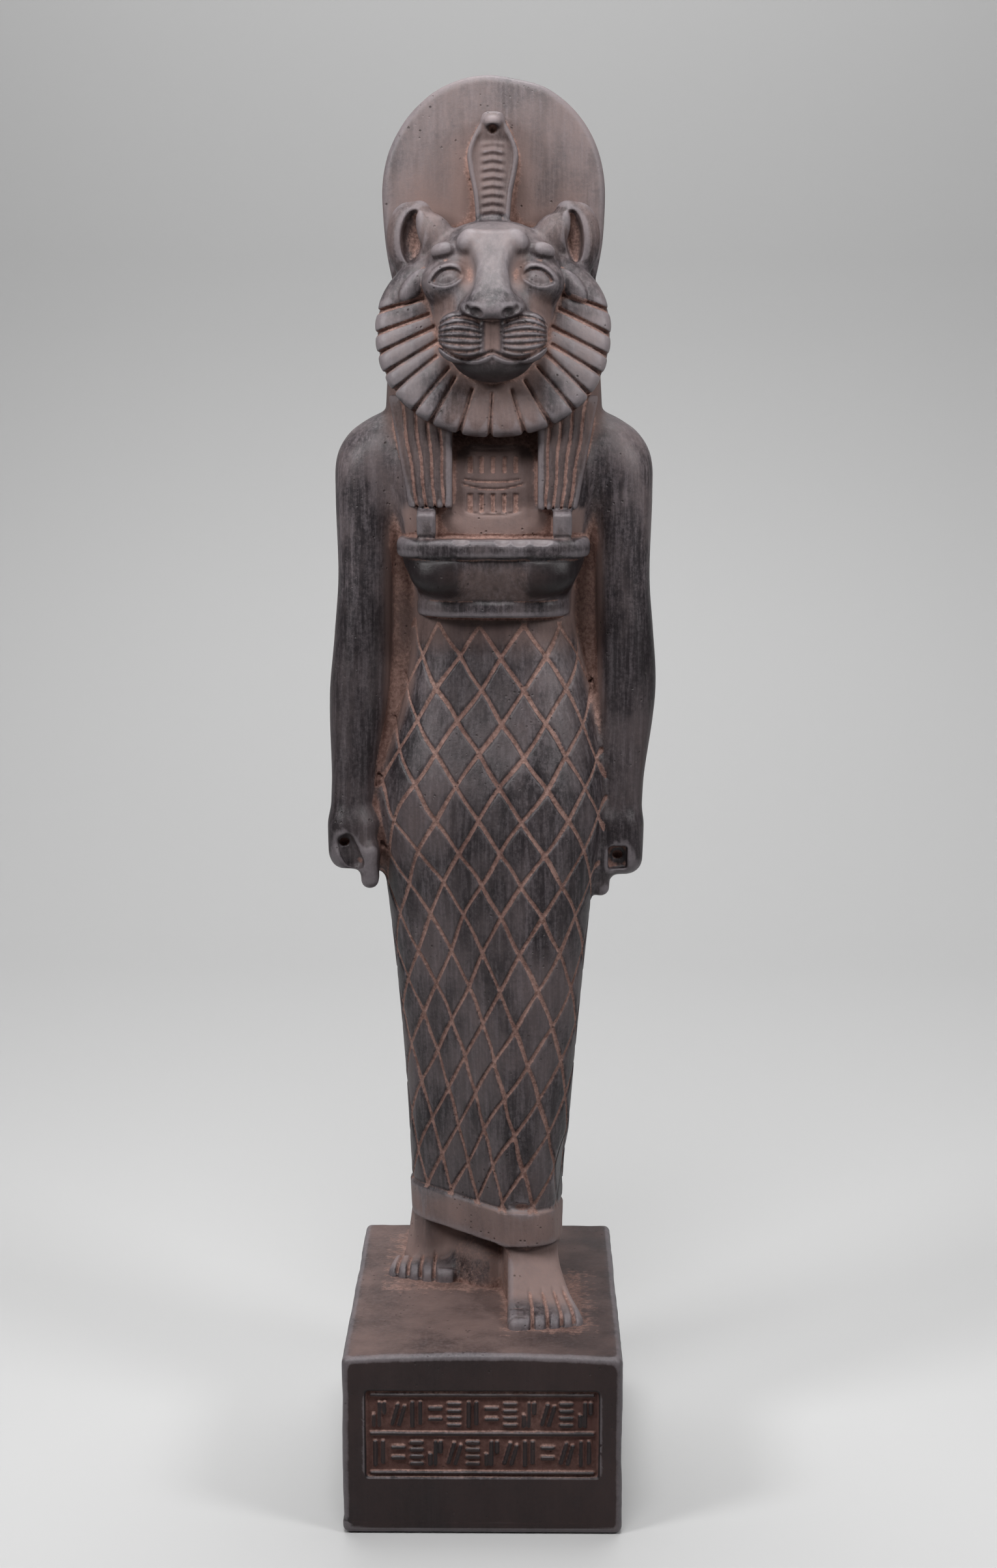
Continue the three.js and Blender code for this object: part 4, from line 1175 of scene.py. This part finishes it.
class Sock:
    """A socket of a shader's node tree that can be calculated with."""

    tree = None

    def __init__(self, out):
        self.out = out

    @classmethod
    def node(cls, kind, settings=(), inputs=(), out=0):
        node = cls.tree.nodes.new(kind)
        for key, value in dict(settings).items():
            setattr(node, key, value)
        for key, value in dict(inputs).items():
            if isinstance(value, Sock):
                cls.tree.links.new(value.out, node.inputs[key])
            else:
                node.inputs[key].default_value = value
        return cls(node.outputs[out])

    def maths(self, what, other):
        return Sock.node("ShaderNodeMath", {"operation": what}, {0: self, 1: other})

    def __add__(self, o):
        return self.maths("ADD", o)

    def __sub__(self, o):
        return self.maths("SUBTRACT", o)

    def __mul__(self, o):
        return self.maths("MULTIPLY", o)

    def max(self, o):
        return self.maths("MAXIMUM", o)

    def min(self, o):
        return self.maths("MINIMUM", o)

    def span(self, low, high, to_low=0.0, to_high=1.0, smooth_step=True):
        """What lies from low to high, moved to the values from to_low to to_high."""
        kind = "SMOOTHSTEP" if smooth_step else "LINEAR"
        inputs = {0: self, 1: low, 2: high, 3: to_low, 4: to_high}
        return Sock.node("ShaderNodeMapRange", {"interpolation_type": kind}, inputs)

    def mix(self, a, b):
        """Colour a where this is 0, b where it is 1."""
        inputs = {0: self, 6: a, 7: b}
        return Sock.node("ShaderNodeMix", {"data_type": "RGBA"}, inputs, 2)


def texture(place, kind="Noise", **inputs):
    return Sock.node("ShaderNodeTex" + kind, {}, {"Vector": place, **inputs})


def drawn_out(place, z):
    """Coordinates that make a texture longer up and down."""
    return Sock.node("ShaderNodeMapping", {}, {"Vector": place, "Scale": (1.0, 1.0, z)})


def rgb(r, g, b):
    """A linear colour from the values a picture shows."""
    return tuple((v / 255 / 12.92) if v <= 10 else ((v / 255 + 0.055) / 1.055) ** 2.4 for v in (r, g, b)) + (1.0,)


def cast_stone():
    """Dark stone with streaks, a brown veil over it, red dust in its hollows, pale edges from wear and painted
    highlight, and the painted shade and light that the tone sets.
    """
    m = bpy.data.materials.new("cast_stone")
    m.use_nodes = True
    Sock.tree = m.node_tree
    bsdf = m.node_tree.nodes["Principled BSDF"]
    place = Sock.node("ShaderNodeTexCoord", out=3)
    names = ("film", "crust", "edge", "tone", "first", "second", "netted")
    marks = [Sock.node("ShaderNodeAttribute", {"attribute_name": n}, out=2) for n in names]
    film, crust, edge, tone, first, second, netted = marks
    cloud = texture(place, Scale=45.0, Detail=5.0, Roughness=0.6)
    patch = texture(place, Scale=130.0, Detail=6.0, Roughness=0.65)
    grain = texture(place, Scale=1100.0, Detail=4.0, Roughness=0.75)
    streak = texture(drawn_out(place, 0.07), Scale=900.0, Detail=4.0, Roughness=0.7)
    broad_streak = texture(drawn_out(place, 0.16), Scale=120.0, Detail=4.0, Roughness=0.6)
    speck = texture(place, "Voronoi", Scale=520.0)
    pits = speck.span(0.06, 0.2, 1.0, 0.0) * texture(place, Scale=85.0, Detail=3.0).span(0.52, 0.62)

    # the cords of the net: dusty lines of uneven width with pits in them
    off = first.maths("PINGPONG", 0.5).min(second.maths("PINGPONG", 0.5)) * 8.8
    off = off + (patch - 0.5) * 0.5 + (grain - 0.5) * 0.3
    cord = off.span(0.68, 0.32) * netted * (cloud * 0.5 + patch * 0.5).span(0.3, 0.5, 0.35, 1.0)

    dust = (crust.max(cord * 0.85) + (patch - 0.5) * 0.5 + (grain - 0.5) * 0.6).span(0.3, 0.85)
    veil = (film + (cloud - 0.5) * 0.9 + (broad_streak - 0.5) * 0.35 + (grain - 0.5) * 0.5).span(0.0, 1.0)
    wear_and_edge_highlight = (edge + (patch - 0.5) * 0.5 + (grain - 0.5) * 0.4).span(0.5, 1.1)

    shade = (broad_streak * 0.4 + cloud * 0.6).span(0.42, 0.58)
    tone = tone + (cloud * 0.5 + broad_streak * 0.5 - 0.5) * 1.2
    stone = shade.mix(rgb(34, 30, 33), rgb(76, 69, 71))
    stone = ((streak * 0.6 + grain * 0.4).span(0.42, 0.68) * 0.65).mix(stone, rgb(112, 104, 108))
    # the tone darkens and pales the stone, veil and dust: the stone's own tone, with painted shade and painted light
    stone = tone.span(0.0, -1.5, 0.0, 0.92, False).mix(stone, rgb(22, 15, 17))
    stone = tone.span(0.0, 1.0, 0.0, 0.8, False).mix(stone, rgb(134, 126, 128))
    brown = tone.span(-1.0, 1.0, 0.0, 1.0, False).mix(rgb(52, 36, 34), rgb(140, 115, 108))
    veiled = (veil * 0.85).mix(stone, brown)
    red = (patch * 0.4 + grain * 0.6).span(0.35, 0.65).mix(rgb(98, 70, 61), rgb(162, 130, 120))
    red = tone.span(-1.5, -0.2, 0.0, 1.0, False).mix(rgb(78, 49, 44), red)
    colour = (dust * 0.8).mix(veiled, red)
    # pale edges: wear, and painted highlight
    colour = (wear_and_edge_highlight * 0.45).mix(colour, rgb(126, 119, 123))
    colour = (pits * 0.6).mix(colour, rgb(36, 27, 25))
    rough = dust.max(veil * 0.7).span(0, 1, 0.44, 0.86, False) + (patch - 0.5) * 0.15 + (streak - 0.5) * 0.12
    height = grain * 0.5 + streak * 0.2 + patch * 0.5 - pits * 1.6 - cord * 0.5 + dust * grain * 0.7
    normal = Sock.node("ShaderNodeBump", {}, {"Strength": 0.55, "Distance": 0.0003, "Height": height})
    for key, value in (("Base Color", colour), ("Roughness", rough), ("Normal", normal)):
        m.node_tree.links.new(value.out, bsdf.inputs[key])
    bsdf.inputs["Specular IOR Level"].default_value = 0.32
    return m


stone = cast_stone()
for piece in build():
    piece.data.materials.clear()
    piece.data.materials.append(stone)
    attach(piece, "root")
    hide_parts("statue")

# The floor, soft lights and the camera.


def sweep_floor():
    """A pale floor that curves up behind."""
    pale = bpy.data.materials.new("floor")
    pale.use_nodes = True
    bsdf = pale.node_tree.nodes["Principled BSDF"]
    bsdf.inputs["Base Color"].default_value = (0.5, 0.5, 0.5, 1)
    bsdf.inputs["Roughness"].default_value = 0.6
    path = [(-1.6, 0.0), (0.55, 0.0)]
    path += [(0.55 + 0.35 * math.sin(a), 0.35 - 0.35 * math.cos(a)) for a in np.linspace(0.1, math.pi / 2, 14)]
    path += [(0.9, 1.9)]
    points = [(x, y, z) for y, z in path for x in (-2.2, 2.2)]
    faces = [(i, i + 1, i + 3, i + 2) for i in range(0, len(points) - 2, 2)]
    mesh = bpy.data.meshes.new("floor")
    mesh.from_pydata(points, [], faces)
    for p in mesh.polygons:
        p.use_smooth = True
    mesh.materials.append(pale)
    floor = bpy.data.objects.new("floor", mesh)
    bpy.context.scene.collection.objects.link(floor)
    return floor


def light(name, place, aim, size, power, spread=120):
    data = bpy.data.lights.new(name, "AREA")
    data.shape, data.size, data.energy = "DISK", size, power
    data.spread = math.radians(spread)
    lamp = bpy.data.objects.new(name, data)
    lamp.location = place
    lamp.rotation_euler = (Vector(aim) - Vector(place)).to_track_quat("-Z", "Y").to_euler()
    bpy.context.scene.collection.objects.link(lamp)


sweep_floor()
light("left", (-0.46, -0.33, 0.56), (0, 0, 0.22), 0.2, 1.15)
light("right", (0.48, -0.31, 0.56), (0, 0, 0.22), 0.2, 0.95)
light("top", (-0.03, -0.3, 0.68), (0, 0, 0.24), 0.24, 1.0)
light("behind", (0.0, 0.35, 1.3), (0, 0.8, 0.0), 0.8, 13.0, 180)
world = bpy.data.worlds.new("world")
world.use_nodes = True
world.node_tree.nodes["Background"].inputs["Color"].default_value = (1, 1, 1, 1)
world.node_tree.nodes["Background"].inputs["Strength"].default_value = 0.04
bpy.context.scene.world = world

# solved from the plinth's edges in the photograph
camera_data = bpy.data.cameras.new("camera")
camera_data.lens, camera_data.sensor_width = 57, 36
camera_data.clip_start = 0.01
camera = bpy.data.objects.new("camera", camera_data)
camera.location = (0.0098, -0.6167, 0.2771)
camera.rotation_euler = (math.radians(90 - 9.193), 0, math.radians(0.590))
bpy.context.scene.collection.objects.link(camera)
bpy.context.scene.camera = camera
bpy.context.scene.view_settings.view_transform = "Standard"
